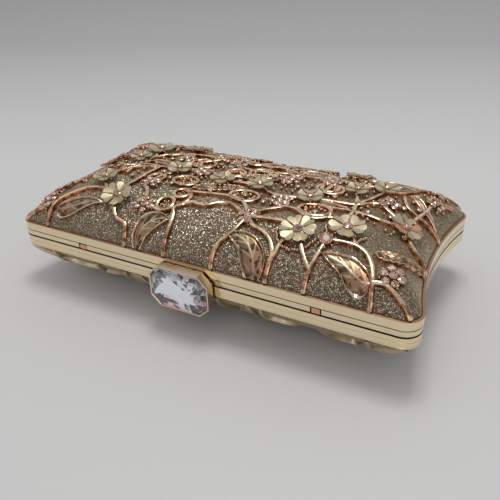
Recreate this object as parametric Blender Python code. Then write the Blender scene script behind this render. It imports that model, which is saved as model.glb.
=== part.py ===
"""Hard evening clutch: a hinged metal frame, two padded glitter shells and cast floral openwork.

The frame lies flat. X runs along the long edges, the clasp faces -Y, the hinges are at +Y and the
origin is the middle of the plan, on the surface that the clutch rests on. Lengths are in metres.
"""
import math

import bmesh
import bpy
from mathutils import Matrix, Vector
from mathutils.geometry import delaunay_2d_cdt

# Plan of the frame
HALF_LENGTH = 0.1070
HALF_DEPTH = 0.0532
END_SAG = 0.0090
CORNER_RADIUS = 0.0080

# Frame section
SEAM_GAP = 0.0007
UPPER_RIM_HEIGHT = 0.0075
LOWER_RIM_HEIGHT = 0.0060
RIM_WALL = 0.0012
RIM_EDGE = 0.0003
FLANGE_WIDTH = 0.0023
FLANGE_THICKNESS = 0.0008
GROOVE_HEIGHT = 0.0029
GROOVE_WIDTH = 0.0004
GROOVE_DEPTH = 0.0004
FIT_GAP = 0.0003

# Padded shells and lining
SHELL_RISE = 0.0170
SHELL_RUN = 0.0271
SHELL_POWER_SHARE = 1.52
CORNER_GROWTH_SHARE = 0.60
SHELL_WALL = 0.0015
LINING_WALL = 0.0008

# Guide tabs and the windows that they stand in
TAB_PLACE = 0.0620
TAB_WIDTH = 0.0040
TAB_HEIGHT = 0.0026
TAB_THICKNESS = 0.0008
TAB_RECESS = 0.0001
TAB_SHIFT = 0.0002
WINDOW_SIDE_CLEARANCE = 0.0005
CUT_OVERRUN = 0.0010

# Cast openwork
SEAT_GAP = 0.0005
STEM_WIDTH = 0.0022
STEM_HEIGHT = 0.0012
STEM_STEP = 0.0065
PATH_TURN = 0.32
FOOT_SHARE = 0.004
LEAF_HEIGHT = 0.0014
LEAF_STEP = 0.0052
RING_RADIUS = 0.0042
BOSS_HEIGHT = 0.0021
EDGE_HEIGHT = 0.0007
LEAST_EDGE = 0.0009
RIDGE_SPACING = 0.0008
CUT_TOLERANCE = 0.00002
PAD_RADIUS = 0.0026
FLOWER_HEIGHT = 0.0018
FLOWER_PETALS = 5
REST_FLAT_RADIUS = 0.0030

# Hinges
HINGE_PLACE = 0.0560
HINGE_LENGTH = 0.0180
HINGE_BARREL_RADIUS = 0.0015
HINGE_PIN_RADIUS = 0.0006
HINGE_PLATE = 0.0008
HINGE_KNUCKLE_SHARE = 0.38
HINGE_UPPER_PLATE_HEIGHT = 0.0046
HINGE_LOWER_PLATE_HEIGHT = 0.0036

# Clasp
CLASP_OFFSET = -0.0025
BEZEL_WIDTH = 0.0316
BEZEL_HEIGHT = 0.0217
BEZEL_CORNER = 0.0050
BEZEL_TOP = 0.0063
BEZEL_WALL = 0.0008
BEZEL_LIP = 0.0002
BEZEL_FLOOR = 0.0006
BEZEL_BACK = 0.0009
BEZEL_FRONT = 0.0056
CLASP_PIN_RADIUS = 0.0004
CLASP_BARREL_RADIUS = 0.0009
CLASP_POCKET = 0.0017
CLASP_AXIS_DROP = 0.0020
BRACKET_WIDTH = 0.0200
BRACKET_HEIGHT = 0.0020
BRACKET_PLATE = 0.0004
BRACKET_KNUCKLE = 0.0040
LEVER_WIDTH = 0.0100
LEVER_LENGTH = 0.0092
LEVER_PLATE = 0.0007
NOSE_HEIGHT = 0.0010
CATCH_WIDTH = 0.0140
CATCH_HEIGHT = 0.0038
CATCH_RIDGE = 0.0003
CRYSTAL_DEPTH = 0.0034
CRYSTAL_GIRDLE = 0.0004
CRYSTAL_TABLE_INSET = 0.0048
CRYSTAL_CULET_INSET = 0.0058

# Facet counts
CORNER_STEPS = 6
END_STEPS = 5
EDGE_STEPS = 1
DOME_SHARES = (0.0, 0.03, 0.1, 0.22, 0.38, 0.58, 0.8, 1.0)
INNER_DOME_SHARES = (0.0, 0.1, 0.3, 0.6, 1.0)
LINING_DOME_SHARES = (0.0, 0.3, 1.0)
CURVE_STEPS = 12
LEAF_STEPS = 60
HALVINGS = 24
BARREL_SIDES = 12
RING_STEPS = 8
BOSS_SIDES = 8
PAD_SIDES = 6
MENDING_ROUNDS = 8

# Worked out from the sizes above
HALF_SEAM = SEAM_GAP / 2
END_RADIUS = (HALF_DEPTH ** 2 + END_SAG ** 2) / (2 * END_SAG)
SHELL_INSET = RIM_WALL + FIT_GAP
FLANGE_TOP = HALF_SEAM + FLANGE_THICKNESS
SHELL_FOOT = FLANGE_TOP + FIT_GAP
FLOWER_LIFT = SEAT_GAP + STEM_HEIGHT + FIT_GAP
SEAM_HEIGHT = LOWER_RIM_HEIGHT + SHELL_RISE + FLOWER_LIFT + FLOWER_HEIGHT
HINGE_GAP = HINGE_BARREL_RADIUS + FIT_GAP
HINGE_AXIS = Vector((0, HALF_DEPTH + HINGE_GAP, SEAM_HEIGHT))
CLASP_REACH = BRACKET_PLATE + 2 * FIT_GAP + CLASP_BARREL_RADIUS / 2
CLASP_AXIS = Vector((CLASP_OFFSET, -HALF_DEPTH - CLASP_REACH, SEAM_HEIGHT + BEZEL_TOP - CLASP_AXIS_DROP))

# Openwork layout, read from the near half of the lid. Places are steps of a grid that has 107 steps
# to HALF_LENGTH and 53.2 to HALF_DEPTH. The far half is the same layout turned by half a turn.
GRID_SHARES = (1 / 107, 1 / 53.2)
STEM_SHARES = (
    ((-84, -54), (-84.3, -48), (-83, -43), (-79, -38), (-73, -33), (-67, -31), (-60, -31.5), (-51.5, -33.5)),
    ((-100, -51), (-93, -48), (-87, -45), (-83, -43)),
    ((-51.5, -33.5), (-49, -40), (-45, -44), (-39, -45.5), (-36.5, -49), (-35.5, -54)),
    ((-13.5, -54), (-14.5, -45), (-16, -38), (-18.5, -33.5)),
    ((-29, -35.5), (-24, -36.5), (-18.5, -33.5), (-12, -28), (-8, -28.2), (-3, -27.5), (1, -24), (5, -22.5),
     (9, -24), (14, -27), (19, -29)),
    ((-15, -31), (-14, -26), (-16, -22), (-19, -20), (-8, -17.5), (0, -16), (8, -17), (13, -21), (19, -29)),
    ((12, -54), (11.5, -48), (13, -43), (16.5, -38), (19, -29)),
    ((19, -29), (23.6, -33.4), (29.8, -35.3), (34.2, -38.2), (37.6, -42.4), (38.4, -46.2), (38.3, -54)),
    ((38.3, -46.2), (39.2, -43.0), (39.8, -38.2), (44.3, -31)),
    ((19, -29), (28, -28), (36, -27.5), (44.3, -31)),
    ((56, -54), (56, -46), (57, -40), (58, -32.5)),
    ((44.3, -31), (49, -38), (52, -42), (56, -46)),
    ((84.5, -54), (83.5, -49), (82, -44), (79.5, -38.5), (76, -34), (71, -31.5), (65, -31.5), (58, -32.5)),
    ((71, -31.5), (67, -27), (63.5, -22.5)),
    ((82.3, -45), (87, -44.5), (92, -46.5), (100, -51)),
    ((63.5, -22.5), (61, -14), (61, -7), (60, 0)),
    ((31, -15), (36, -15.5), (41, -19), (46, -20.5), (50, -19), (54, -16.5), (58, -17.5), (63.5, -22.5)),
    ((19, -29), (25, -21), (31, -15), (30, -10), (28, -5)),
    ((44.3, -31), (45, -25), (46, -20.5)),
    ((84, -4.5), (88, -12), (93, -16), (99, -19)),
    ((84, -4.5), (76, -8.5), (68, -8), (61, -7)),
    ((84, -4.5), (85, 3), (86, 10.5)),
    ((77, 21), (79, 15), (82, 12), (86, 10.5), (91, 10.5), (98, 12)),
    ((86, 10.5), (88, 19), (90, 30), (97, 37)),
    ((-68, -22), (-64, -27), (-60, -31.5)),
    ((-68, -22), (-66, -12), (-60, 0)),
    ((-34, -35), (-38, -27), (-43, -22), (-42, -10), (-38, 2)),
)
GARLAND_SHARES = (
    (-84, 4.5), (-76, -1), (-68, -5), (-60, 0), (-48, 1), (-38, 2), (-28, 5), (-19, 5), (-10, -1), (0, 0),
    (10, 1), (19, -5), (28, -5), (38, -2), (48, -1), (60, 0), (68, 5), (76, 1), (84, -4.5),
)
# Both edges of each leaf, from its base to its tip.
LEAF_SHARES = (
    (((-80.5, -46), (-78.3, -49), (-73.4, -48.5), (-68.6, -45.9), (-64.5, -42.6), (-57, -38.5)),
     ((-80.5, -46), (-79, -43.2), (-74.5, -40.3), (-69.5, -38.2), (-64, -37.4), (-57, -38.5))),
    (((-29, -53), (-31.6, -50.5), (-32.6, -46), (-31.5, -41.5), (-28, -38.3), (-22.5, -37.4), (-16.5, -39.3)),
     ((-29, -53), (-26, -51), (-24.4, -48), (-21.5, -44.5), (-18.7, -41.5), (-16.5, -39.3))),
    (((32, -52.8), (28.4, -51.8), (26.3, -50), (24.2, -47.5), (21.9, -44.7), (17.4, -42), (13.3, -39.7)),
     ((32, -52.8), (35.8, -51), (36.6, -48.5), (36, -46), (33.6, -42.7), (30, -39.8), (25.4, -37.6),
      (19.6, -37.4), (13.3, -39.7))),
    (((82, -45.3), (81.6, -48.3), (79.6, -50), (77, -50.2), (74.5, -49.3), (71.9, -47.8), (68.7, -45),
      (63.3, -42.1), (57.5, -38.4)),
     ((82, -45.3), (79.6, -42.2), (74.8, -38.9), (70, -37.4), (63.6, -37.3), (57.5, -38.4))),
    (((98, -21), (96.7, -25.3), (92.9, -28.8), (88, -32.4), (81.6, -34.2), (78, -31.6)),
     ((98, -21), (96, -20.8), (91.7, -23.6), (86.9, -26.6), (82.5, -28.4), (78, -31.6))),
    (((-20.1, -15.5), (-14.4, -16.1), (-9.1, -14.6), (0.6, -10), (5.4, -4.5)),
     ((-20.1, -15.5), (-17.5, -10.5), (-11.4, -6.5), (-2.9, -4.5), (5.4, -4.5))),
    (((36, -3.5), (45, -7.6), (54, -8.3), (60, -6)), ((36, -3.5), (45, -3), (54, -4), (60, -6))),
    (((77.8, 26), (82, 20.8), (85.8, 17.5), (90.3, 15.2), (95.2, 13.4)),
     ((77.8, 26), (83.2, 25.4), (87.6, 21.3), (91.5, 17.4), (95.2, 13.4))),
)
RING_SHARES = ((-24, -32), (-20.5, -22.5), (-43, -12))
CLUSTER_SHARES = (
    ((19, -29), 1.0),
    ((88.5, -40), 1.1),
    ((-34, -35), 1.1),
    ((58, -32.5), 0.65),
    ((90, 30), 1.1),
    ((-43, -22), 0.95),
    ((-89, -42.5), 0.75),
)
FLOWER_SHARES = (
    ("a", (-51.5, -33.5), 1.0),
    ("b", (44.3, -31), 1.06),
    ("c", (63.5, -22.5), 1.04),
    ("d", (84, -4.5), 1.0),
    ("e", (-68, -22), 0.82),
    ("f", (-38, 2), 0.85),
    ("g", (10, 1), 0.85),
)

# Layout of the top of the lid, which isn't repeated on the far half
TOP_FLOWER_SHARES = (("left", (-66.5, 7), 0.78), ("right", (56, 15), 0.8))
TOP_STEM_SHARES = (
    ((-60, 0), (-66.5, 7)),
    ((60, 0), (56, 15)),
    ((-51.8, -30), (-50.6, -20), (-50.7, -12.3), (-49, 1)),
    ((-61.5, -13.7), (-62.5, -4.1), (-61.5, 6), (-56, 16), (-44, 22), (-30, 24.5)),
    ((-10, 26.5), (2, 24), (12, 25), (22, 22)),
    ((39, 24), (50, 22), (58, 22), (66.5, 22.5)),
)
TOP_LEAF_SHARES = (
    (((-69.5, -10), (-64.3, -8.8), (-58.8, -4), (-49.2, -0.6)),
     ((-69.5, -10), (-66, -4), (-58, 0.6), (-49.2, -0.6))),
    (((64.5, 20.5), (66.2, 27), (70.5, 31.3), (76, 34.6), (81.5, 35.5)),
     ((64.5, 20.5), (70.5, 20.5), (75.5, 24.5), (79.2, 29.4), (81.5, 35.5))),
    (((-32, 24), (-24, 21), (-16, 22), (-8, 27)), ((-32, 24), (-25, 28.5), (-16, 30), (-8, 27))),
    (((20, 22), (27, 19.5), (35, 20.5), (41, 25)), ((20, 22), (26, 26), (34, 27.5), (41, 25))),
)
TOP_CLUSTER_SHARES = (
    ((22, 13), 1.0),
    ((-42, 15.5), 1.0),
)
FLOWER_RADIUS = 0.0080
CLUSTER_RADIUS = 0.0047
LOWER_FLOWERS = ("c", "e", "f")
LOWER_STEMS = (0, 1, 2, 3, 4, 6, 7, 8, 10, 11, 12, 13, 14, 15, 16, 17, 18, 19, 24, 25)
LOWER_LEAVES = (0, 1, 2, 3, 4)
LEAF_RIDGE_SHARES = ((-0.27, 1.0), (0.0, 0.5), (0.27, 1.0))
SETTING_SHARE = 0.55
RIM_CLEAR_SHARE = 0.75
PETAL_SHARES = ((0.0, 0.46), (0.13, 0.90), (0.34, 1.0), (0.50, 0.91), (0.66, 1.0), (0.87, 0.90))
PETAL_TIP_SHARE = 0.58
THROAT_HEIGHT_SHARE = 0.42
THROAT_LOBE_SHARE = 0.35
PINCH_SHARE = 0.2
ROOT_SHARE = 0.42
THROAT_SHARE = 0.60
MIDDLE_SHARE = 0.30
CROWN_STEP_SHARE = 0.7


def clear_scene():
    for item in list(bpy.data.objects):
        bpy.data.objects.remove(item, do_unlink=True)


def make_material(name, color, roughness, metallic, transmission=0.0):
    material = bpy.data.materials.new(name)
    material.use_nodes = True
    shader = material.node_tree.nodes["Principled BSDF"]
    shader.inputs["Base Color"].default_value = (*color, 1.0)
    shader.inputs["Roughness"].default_value = roughness
    shader.inputs["Metallic"].default_value = metallic
    shader.inputs["Transmission Weight"].default_value = transmission
    return material


def make_axis(name, place):
    axis = bpy.data.objects.new(name, None)
    axis.location = place
    bpy.context.scene.collection.objects.link(axis)
    return axis


def add_object(name, work, material, axis=None, smooth_angle=40.0):
    """Turn a finished bmesh, in world places, into one named object on an axis empty."""
    bmesh.ops.recalc_face_normals(work, faces=work.faces)
    mesh = bpy.data.meshes.new(name)
    work.to_mesh(mesh)
    work.free()
    mesh.materials.append(material)
    mesh.shade_smooth()
    mesh.set_sharp_from_angle(angle=math.radians(smooth_angle))
    item = bpy.data.objects.new(name, mesh)
    bpy.context.scene.collection.objects.link(item)
    if axis:
        item.parent = axis
        item.matrix_parent_inverse = Matrix.Translation(axis.location).inverted()
    return item


def combine(item, other, operation):
    """Cut or join another object, which then stays behind as a hidden tool."""
    other.hide_render = True
    other.display_type = "WIRE"
    boolean = item.modifiers.new(operation.title(), "BOOLEAN")
    boolean.operation = operation
    boolean.object = other
    return boolean


def loft(work, rings, capped=True):
    """Skin a row of point loops of equal length; capped closes both ends, else it runs round."""
    loops = [[work.verts.new(point) for point in ring] for ring in rings]
    pairs = list(zip(loops, loops[1:]))
    if not capped:
        pairs.append((loops[-1], loops[0]))
    for lower, upper in pairs:
        for index in range(len(lower)):
            after = (index + 1) % len(lower)
            work.faces.new((lower[index], lower[after], upper[after], upper[index]))
    if capped:
        work.faces.new(reversed(loops[0]))
        work.faces.new(loops[-1])


def box(work, low, high):
    made = bmesh.ops.create_cube(work, size=1.0)
    low, high = Vector(low), Vector(high)
    size = high - low
    for vert in made["verts"]:
        vert.co = (low + high) / 2 + Vector((vert.co[axis] * size[axis] for axis in range(3)))


def barrel(work, centre, radius, length):
    """A cylinder along X."""
    turn = Matrix.Translation(centre) @ Matrix.Rotation(math.pi / 2, 4, "Y")
    bmesh.ops.create_cone(work, cap_ends=True, segments=BARREL_SIDES, radius1=radius, radius2=radius,
                          depth=length, matrix=turn)


def outline(inset, radius):
    """Plan outline at an inset from the frame's outer face, as (x, y), counter-clockwise."""
    edge = HALF_DEPTH - inset
    end_radius = END_RADIUS + inset
    fillet_y = edge - radius
    arc_x = HALF_LENGTH - END_SAG + END_RADIUS
    fillet_x = arc_x - math.sqrt((end_radius + radius) ** 2 - fillet_y ** 2)
    turn = math.atan2(fillet_y, arc_x - fillet_x)
    half = []
    for step in range(EDGE_STEPS):
        half.append((fillet_x * (2 * step / EDGE_STEPS - 1), -edge))
    for step in range(CORNER_STEPS + 1):
        angle = -math.pi / 2 + (turn + math.pi / 2) * step / CORNER_STEPS
        half.append((fillet_x + radius * math.cos(angle), -fillet_y + radius * math.sin(angle)))
    for step in range(1, END_STEPS):
        angle = turn * (1 - 2 * step / END_STEPS)
        half.append((arc_x - end_radius * math.cos(angle), -end_radius * math.sin(angle)))
    for step in range(CORNER_STEPS):
        angle = -turn + (turn + math.pi / 2) * step / CORNER_STEPS
        half.append((fillet_x + radius * math.cos(angle), fillet_y + radius * math.sin(angle)))
    return half + [(-x, -y) for x, y in half]


def frame_ring(inset, height):
    return [(x, y, height) for x, y in outline(inset, CORNER_RADIUS - inset)]


def dome_rise(share, rise):
    return rise * (1 - (1 - share) ** SHELL_POWER_SHARE) ** (1 / SHELL_POWER_SHARE)


def dome_radius(share, inset):
    return CORNER_RADIUS - inset + CORNER_GROWTH_SHARE * SHELL_RUN * share


def dome_ring(share, inset, rise, foot):
    height = foot + dome_rise(share, rise)
    return [(x, y, height) for x, y in outline(inset + SHELL_RUN * share, dome_radius(share, inset))]


def inside(x, y, share):
    """Whether a plan point lies inside the shell's contour at a share of its run."""
    x, y = abs(x), abs(y)
    inset = SHELL_INSET + SHELL_RUN * share
    radius = dome_radius(share, SHELL_INSET)
    edge = HALF_DEPTH - inset
    fillet_y = edge - radius
    arc_x = HALF_LENGTH - END_SAG + END_RADIUS
    fillet_x = arc_x - math.sqrt((END_RADIUS + inset + radius) ** 2 - fillet_y ** 2)
    angle = math.atan2(y - fillet_y, x - fillet_x)
    if angle > math.pi / 2 or (x < fillet_x and y > fillet_y):
        return y <= edge
    if angle < -math.atan2(fillet_y, arc_x - fillet_x):
        return math.hypot(x - arc_x, y) >= END_RADIUS + inset
    return math.hypot(x - fillet_x, y - fillet_y) <= radius


def skin_height(x, y, rim_height):
    """Height of the shell's outer face over the seam at a plan point."""
    low, high = 0.0, 1.0
    if inside(x, y, high):
        return rim_height + SHELL_RISE
    for _ in range(HALVINGS):
        middle = (low + high) / 2
        if inside(x, y, middle):
            low = middle
        else:
            high = middle
    return rim_height + dome_rise(max(low, FOOT_SHARE), SHELL_RISE)


def skin_frame(x, y, rim_height):
    """Point and outward normal of the shell at a plan point."""
    step = STEM_HEIGHT / 8
    height = skin_height(x, y, rim_height)
    slope_x = skin_height(x + step, y, rim_height) - skin_height(x - step, y, rim_height)
    slope_y = skin_height(x, y + step, rim_height) - skin_height(x, y - step, rim_height)
    return Vector((x, y, height)), Vector((-slope_x, -slope_y, 2 * step)).normalized()


def place(share, turned=False):
    sign = -1 if turned else 1
    return sign * share[0] * GRID_SHARES[0] * HALF_LENGTH, sign * share[1] * GRID_SHARES[1] * HALF_DEPTH


def curve_points(shares, turned, count):
    """Smooth plan curve through the given shares."""
    knots = [Vector(place(share, turned)) for share in shares]
    knots = [2 * knots[0] - knots[1], *knots, 2 * knots[-1] - knots[-2]]
    points = []
    for before, start, end, after in zip(knots, knots[1:], knots[2:], knots[3:]):
        for step in range(count):
            t = step / count
            square = 2 * before - 5 * start + 4 * end - after
            cube = 3 * start - before - 3 * end + after
            points.append((2 * start + (end - before) * t + square * t ** 2 + cube * t ** 3) / 2)
    points.append(knots[-2])
    return points


def skin_path(shares, turned, rim_height, spacing):
    """Points, normals and sides of a curve laid on the shell, closer together where the shell bends."""
    dense = [skin_frame(*point, rim_height) for point in curve_points(shares, turned, CURVE_STEPS)]
    run = [0.0]
    for (first, normal), (second, other) in zip(dense, dense[1:]):
        run.append(run[-1] + max((second - first).length / spacing, normal.angle(other) / PATH_TURN))
    steps = max(2, round(run[-1]))
    path = []
    index = 0
    for step in range(steps + 1):
        goal = run[-1] * step / steps
        while index < len(run) - 2 and run[index + 1] < goal:
            index += 1
        t = (goal - run[index]) / (run[index + 1] - run[index])
        side = (dense[index + 1][0] - dense[index][0]).cross(dense[index][1]).normalized()
        path.append((dense[index][0].lerp(dense[index + 1][0], t), side))
    return path


def on_shell(point):
    """Plan point, drawn in to the shell's foot where it falls outside."""
    x, y = point[0], point[1]
    if inside(x, y, FOOT_SHARE):
        return Vector((x, y))
    low, high = 0.9, 1.0
    for _ in range(HALVINGS):
        middle = (low + high) / 2
        if inside(x * middle, y * middle, FOOT_SHARE):
            low = middle
        else:
            high = middle
    return Vector((x * low, y * low))


def add_stem(polygons, ridges, shares, turned, rim_height):
    """Plan outline and raised middle of a vine."""
    path = skin_path(shares, turned, rim_height, STEM_STEP)
    left = [on_shell(point + side * STEM_WIDTH / 2) for point, side in path]
    right = [on_shell(point - side * STEM_WIDTH / 2) for point, side in path]
    polygons.append(left + right[::-1])
    ridges += [(on_shell(point), STEM_HEIGHT) for point, _ in path[1:-1]]


def evenly(points, count):
    """The same curve as count even steps."""
    run = [0.0]
    for before, after in zip(points, points[1:]):
        run.append(run[-1] + (after - before).length)
    spread = []
    index = 0
    for step in range(count + 1):
        goal = run[-1] * step / count
        while index < len(run) - 2 and run[index + 1] < goal:
            index += 1
        share = (goal - run[index]) / (run[index + 1] - run[index])
        spread.append(points[index].lerp(points[index + 1], share))
    return spread


def add_leaf(polygons, ridges, edges, turned, rim_height):
    """Plan outline and raised points of a leaf between two edges, with closer rows where the shell bends."""
    near, far = (evenly(curve_points(edge, turned, CURVE_STEPS), LEAF_STEPS) for edge in edges)
    frames = [skin_frame(*((first + second) / 2), rim_height) for first, second in zip(near, far)]
    run = [0.0]
    for (first, normal), (second, other) in zip(frames, frames[1:]):
        run.append(run[-1] + max((second - first).length / LEAF_STEP, normal.angle(other) / PATH_TURN))
    rows = max(3, round(run[-1]))
    picked = []
    for row in range(rows + 1):
        picked.append(min(range(len(run)), key=lambda index: abs(run[index] - run[-1] * row / rows)))
    left = [on_shell(near[index]) for index in picked]
    right = [on_shell(far[index]) for index in picked]
    polygons.append(left + right[-2:0:-1])
    for index in picked[1:-1]:
        width = (near[index] - far[index]).length
        for across, up in LEAF_RIDGE_SHARES:
            if abs(across) * width > RIDGE_SPACING or across == 0.0:
                ridges.append((on_shell(near[index].lerp(far[index], 0.5 + across)), up * LEAF_HEIGHT))


def circle(centre, radius, sides):
    return [Vector((centre[0] + radius * math.cos(2 * math.pi * side / sides),
                    centre[1] + radius * math.sin(2 * math.pi * side / sides))) for side in range(sides)]


def add_ring(polygons, ridges, share, turned):
    centre = place(share, turned)
    inner = circle(centre, RING_RADIUS - STEM_WIDTH / 2, RING_STEPS)
    outer = circle(centre, RING_RADIUS + STEM_WIDTH / 2, RING_STEPS)
    for side in range(RING_STEPS):
        after = (side + 1) % RING_STEPS
        polygons.append([inner[side], outer[side], outer[after], inner[after]])
    ridges += [(point, STEM_HEIGHT) for point in circle(centre, RING_RADIUS, RING_STEPS)]


def add_boss(polygons, ridges, share, radius, turned, height, sides):
    centre = place(share, turned)
    polygons.append(circle(centre, radius, sides))
    ridges.insert(0, (Vector(centre), height))
    if radius * SETTING_SHARE > 2 * RIDGE_SPACING:
        ridges[1:1] = [(point, height) for point in circle(centre, radius * SETTING_SHARE, sides)]


def boundary(faces):
    """Loops of edges that only one face uses, as (point, face). Loops that meet at a point stay apart."""
    owner = {}
    for face in faces:
        for index in range(len(face)):
            owner[(face[index - 1], face[index])] = face
    follow = {}
    for edge in sorted(owner):
        start, end = edge
        if (end, start) in owner:
            continue
        face = owner[edge]
        after = face[(face.index(end) + 1) % len(face)]
        while (after, end) in owner:
            face = owner[(after, end)]
            after = face[(face.index(end) + 1) % len(face)]
        follow[edge] = (end, after)
    loops = []
    while follow:
        edge = next(iter(follow))
        loop = []
        while edge in follow:
            loop.append((edge[0], owner[edge]))
            edge = follow.pop(edge)
        loops.append(loop)
    return loops


def loop_edges(loops):
    """Number the points of some loops in a row, and list the edges between them."""
    edges = []
    start = 0
    for loop in loops:
        edges += [(start + index, start + (index + 1) % len(loop)) for index in range(len(loop))]
        start += len(loop)
    return edges


def enclosed(point, points, edges):
    """Even-odd test against closed loops of edges."""
    crossings = 0
    for start, end in edges:
        first, second = points[start], points[end]
        if (first.y > point.y) != (second.y > point.y):
            across = first.x + (point.y - first.y) * (second.x - first.x) / (second.y - first.y)
            crossings += across > point.x
    return crossings % 2 == 1


def covered(point, shapes):
    """Whether any of the polygons, kept with their bounds and edges, holds the point."""
    return any(low.x <= point.x <= high.x and low.y <= point.y <= high.y and enclosed(point, polygon, edges)
               for polygon, edges, low, high in shapes)


def distance(point, start, end):
    """Distance from a plan point to an edge."""
    along = end - start
    share = max(0.0, min(1.0, (point - start).dot(along) / along.length_squared))
    return (start + along * share - point).length


def area(loop):
    return sum(start.x * end.y - start.y * end.x for start, end in zip(loop, loop[1:] + loop[:1])) / 2


def traced(faces, points):
    """Outline and holes of the largest patch of faces, as loops of points that touch nowhere."""
    rounds = boundary(faces)
    uses = {}
    for loop in rounds:
        for index, _ in loop:
            uses[index] = uses.get(index, 0) + 1
    loops = [[points[index].lerp(middle_of(face, points), PINCH_SHARE if uses[index] > 1 else 0.0)
              for index, face in loop] for loop in rounds]
    outer = max(loops, key=area)
    edges = loop_edges([outer])
    return [outer] + [loop for loop in loops
                      if area(loop) < -RIDGE_SPACING ** 2 and enclosed(loop[0], outer, edges)]


def merged_loops(polygons):
    """Outline and holes of overlapping plan polygons, as loops of points."""
    shapes = []
    for polygon in polygons:
        low = Vector((min(point.x for point in polygon), min(point.y for point in polygon)))
        high = Vector((max(point.x for point in polygon), max(point.y for point in polygon)))
        shapes.append((polygon, loop_edges([polygon]), low, high))
    points = [point for polygon in polygons for point in polygon]
    found = delaunay_2d_cdt(points, loop_edges(polygons), [], 0, CUT_TOLERANCE)
    loops = traced([face for face in found[2] if covered(middle_of(face, found[0]), shapes)], found[0])
    thinned = [thin(loop) for loop in loops]
    loops = [loop for loop in thinned if len(loop) > 3]
    for _ in range(MENDING_ROUNDS):
        points = [point for loop in loops for point in loop]
        edges = loop_edges(loops)
        found = delaunay_2d_cdt(points, edges, [], 0, CUT_TOLERANCE)
        if len(found[0]) == len(points) and sum(len(sources) for sources in found[4]) == len(edges):
            break
        kept = [face for face in found[2] if enclosed(middle_of(face, found[0]), points, edges)]
        loops = traced(kept, found[0])
    return loops


def thin(loop):
    kept = []
    for point in loop:
        if all((point - other).length > LEAST_EDGE for other in kept[:1] + kept[-1:]):
            kept.append(point)
    return kept


def middle_of(face, points):
    return sum((points[index] for index in face), Vector((0.0, 0.0))) / len(face)


def fill(loops, extra):
    """Triangles inside the loops; extra points come after the loops' points."""
    rim = [point for loop in loops for point in loop]
    edges = loop_edges(loops)
    found = delaunay_2d_cdt(rim + extra, edges, [], 0, CUT_TOLERANCE / 10)
    source = [min(indices) for indices in found[3]]
    faces = [[source[index] for index in face] for face in found[2]]
    walls = {frozenset(edge) for edge in edges}
    owner = {(face[index - 1], face[index]): number for number, face in enumerate(faces)
             for index in range(len(face))}
    sizes = [abs(area([found[0][index] for index in face])) for face in found[2]]
    widest = sizes.index(max(sizes))
    filled = {widest: enclosed(middle_of(found[2][widest], found[0]), rim, edges)}
    waiting = [widest]
    while waiting:
        number = waiting.pop()
        face = faces[number]
        for index in range(len(face)):
            edge = (face[index], face[index - 1])
            beyond = owner.get(edge)
            if beyond is not None and beyond not in filled:
                filled[beyond] = filled[number] != (frozenset(edge) in walls)
                waiting.append(beyond)
    return [face for number, face in enumerate(faces) if filled.get(number)]


def transform_work(work, matrix):
    bmesh.ops.transform(work, matrix=matrix, verts=work.verts)


def openwork(name, once, repeated, rim_height, matrix, material, axis):
    """Cast lattice: vines, leaves, scrolls and stone settings as one pierced body on the shell."""
    polygons, ridges = [], []
    for layout, turned in ((once, False), (repeated, False), (repeated, True)):
        stems, leaves, rings, pads, clusters = layout
        for shares in stems:
            add_stem(polygons, ridges, shares, turned, rim_height)
        for leaf in leaves:
            add_leaf(polygons, ridges, leaf, turned, rim_height)
        for share in rings:
            add_ring(polygons, ridges, share, turned)
        for share in pads:
            add_boss(polygons, ridges, share, PAD_RADIUS, turned, STEM_HEIGHT, PAD_SIDES)
        for share, radius_share in clusters:
            add_boss(polygons, ridges, share, CLUSTER_RADIUS * radius_share, turned, BOSS_HEIGHT, BOSS_SIDES)
    loops = merged_loops(polygons)
    rim = [point for loop in loops for point in loop]
    edges = loop_edges(loops)
    raised = []
    for point, height in ridges:
        clear = all((point - other).length > RIDGE_SPACING for other, _ in raised)
        clear = clear and all(distance(point, rim[start], rim[end]) > RIDGE_SPACING * RIM_CLEAR_SHARE
                              for start, end in edges)
        if clear and enclosed(point, rim, edges):
            raised.append((point, height))
    frames = [skin_frame(*point, rim_height) for point in rim]
    work = bmesh.new()
    low = [work.verts.new(point + normal * SEAT_GAP) for point, normal in frames]
    high = [work.verts.new(point + normal * (SEAT_GAP + EDGE_HEIGHT)) for point, normal in frames]
    under = []
    for plan, height in raised:
        point, normal = skin_frame(*plan, rim_height)
        high.append(work.verts.new(point + normal * (SEAT_GAP + height)))
        if height != STEM_HEIGHT:
            under.append(plan)
            low.append(work.verts.new(point + normal * SEAT_GAP))
    for face in fill(loops, [plan for plan, _ in raised]):
        work.faces.new([high[index] for index in face])
    for face in fill(loops, under):
        work.faces.new([low[index] for index in reversed(face)])
    for start, end in edges:
        work.faces.new((low[start], low[end], high[end], high[start]))
    transform_work(work, matrix)
    return add_object(name, work, material, axis)


def skin_basis(share, turned, rim_height, level):
    """Matrix whose Z leaves the shell at a place of the layout, or stands upright where level."""
    point, normal = skin_frame(*place(share, turned), rim_height)
    if level:
        return Matrix.Translation((point.x, point.y, rim_height + SHELL_RISE))
    across = Vector((0, 1, 0)).cross(normal).normalized()
    along = normal.cross(across)
    basis = Matrix((across, along, normal)).transposed().to_4x4()
    return Matrix.Translation(point) @ basis


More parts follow.
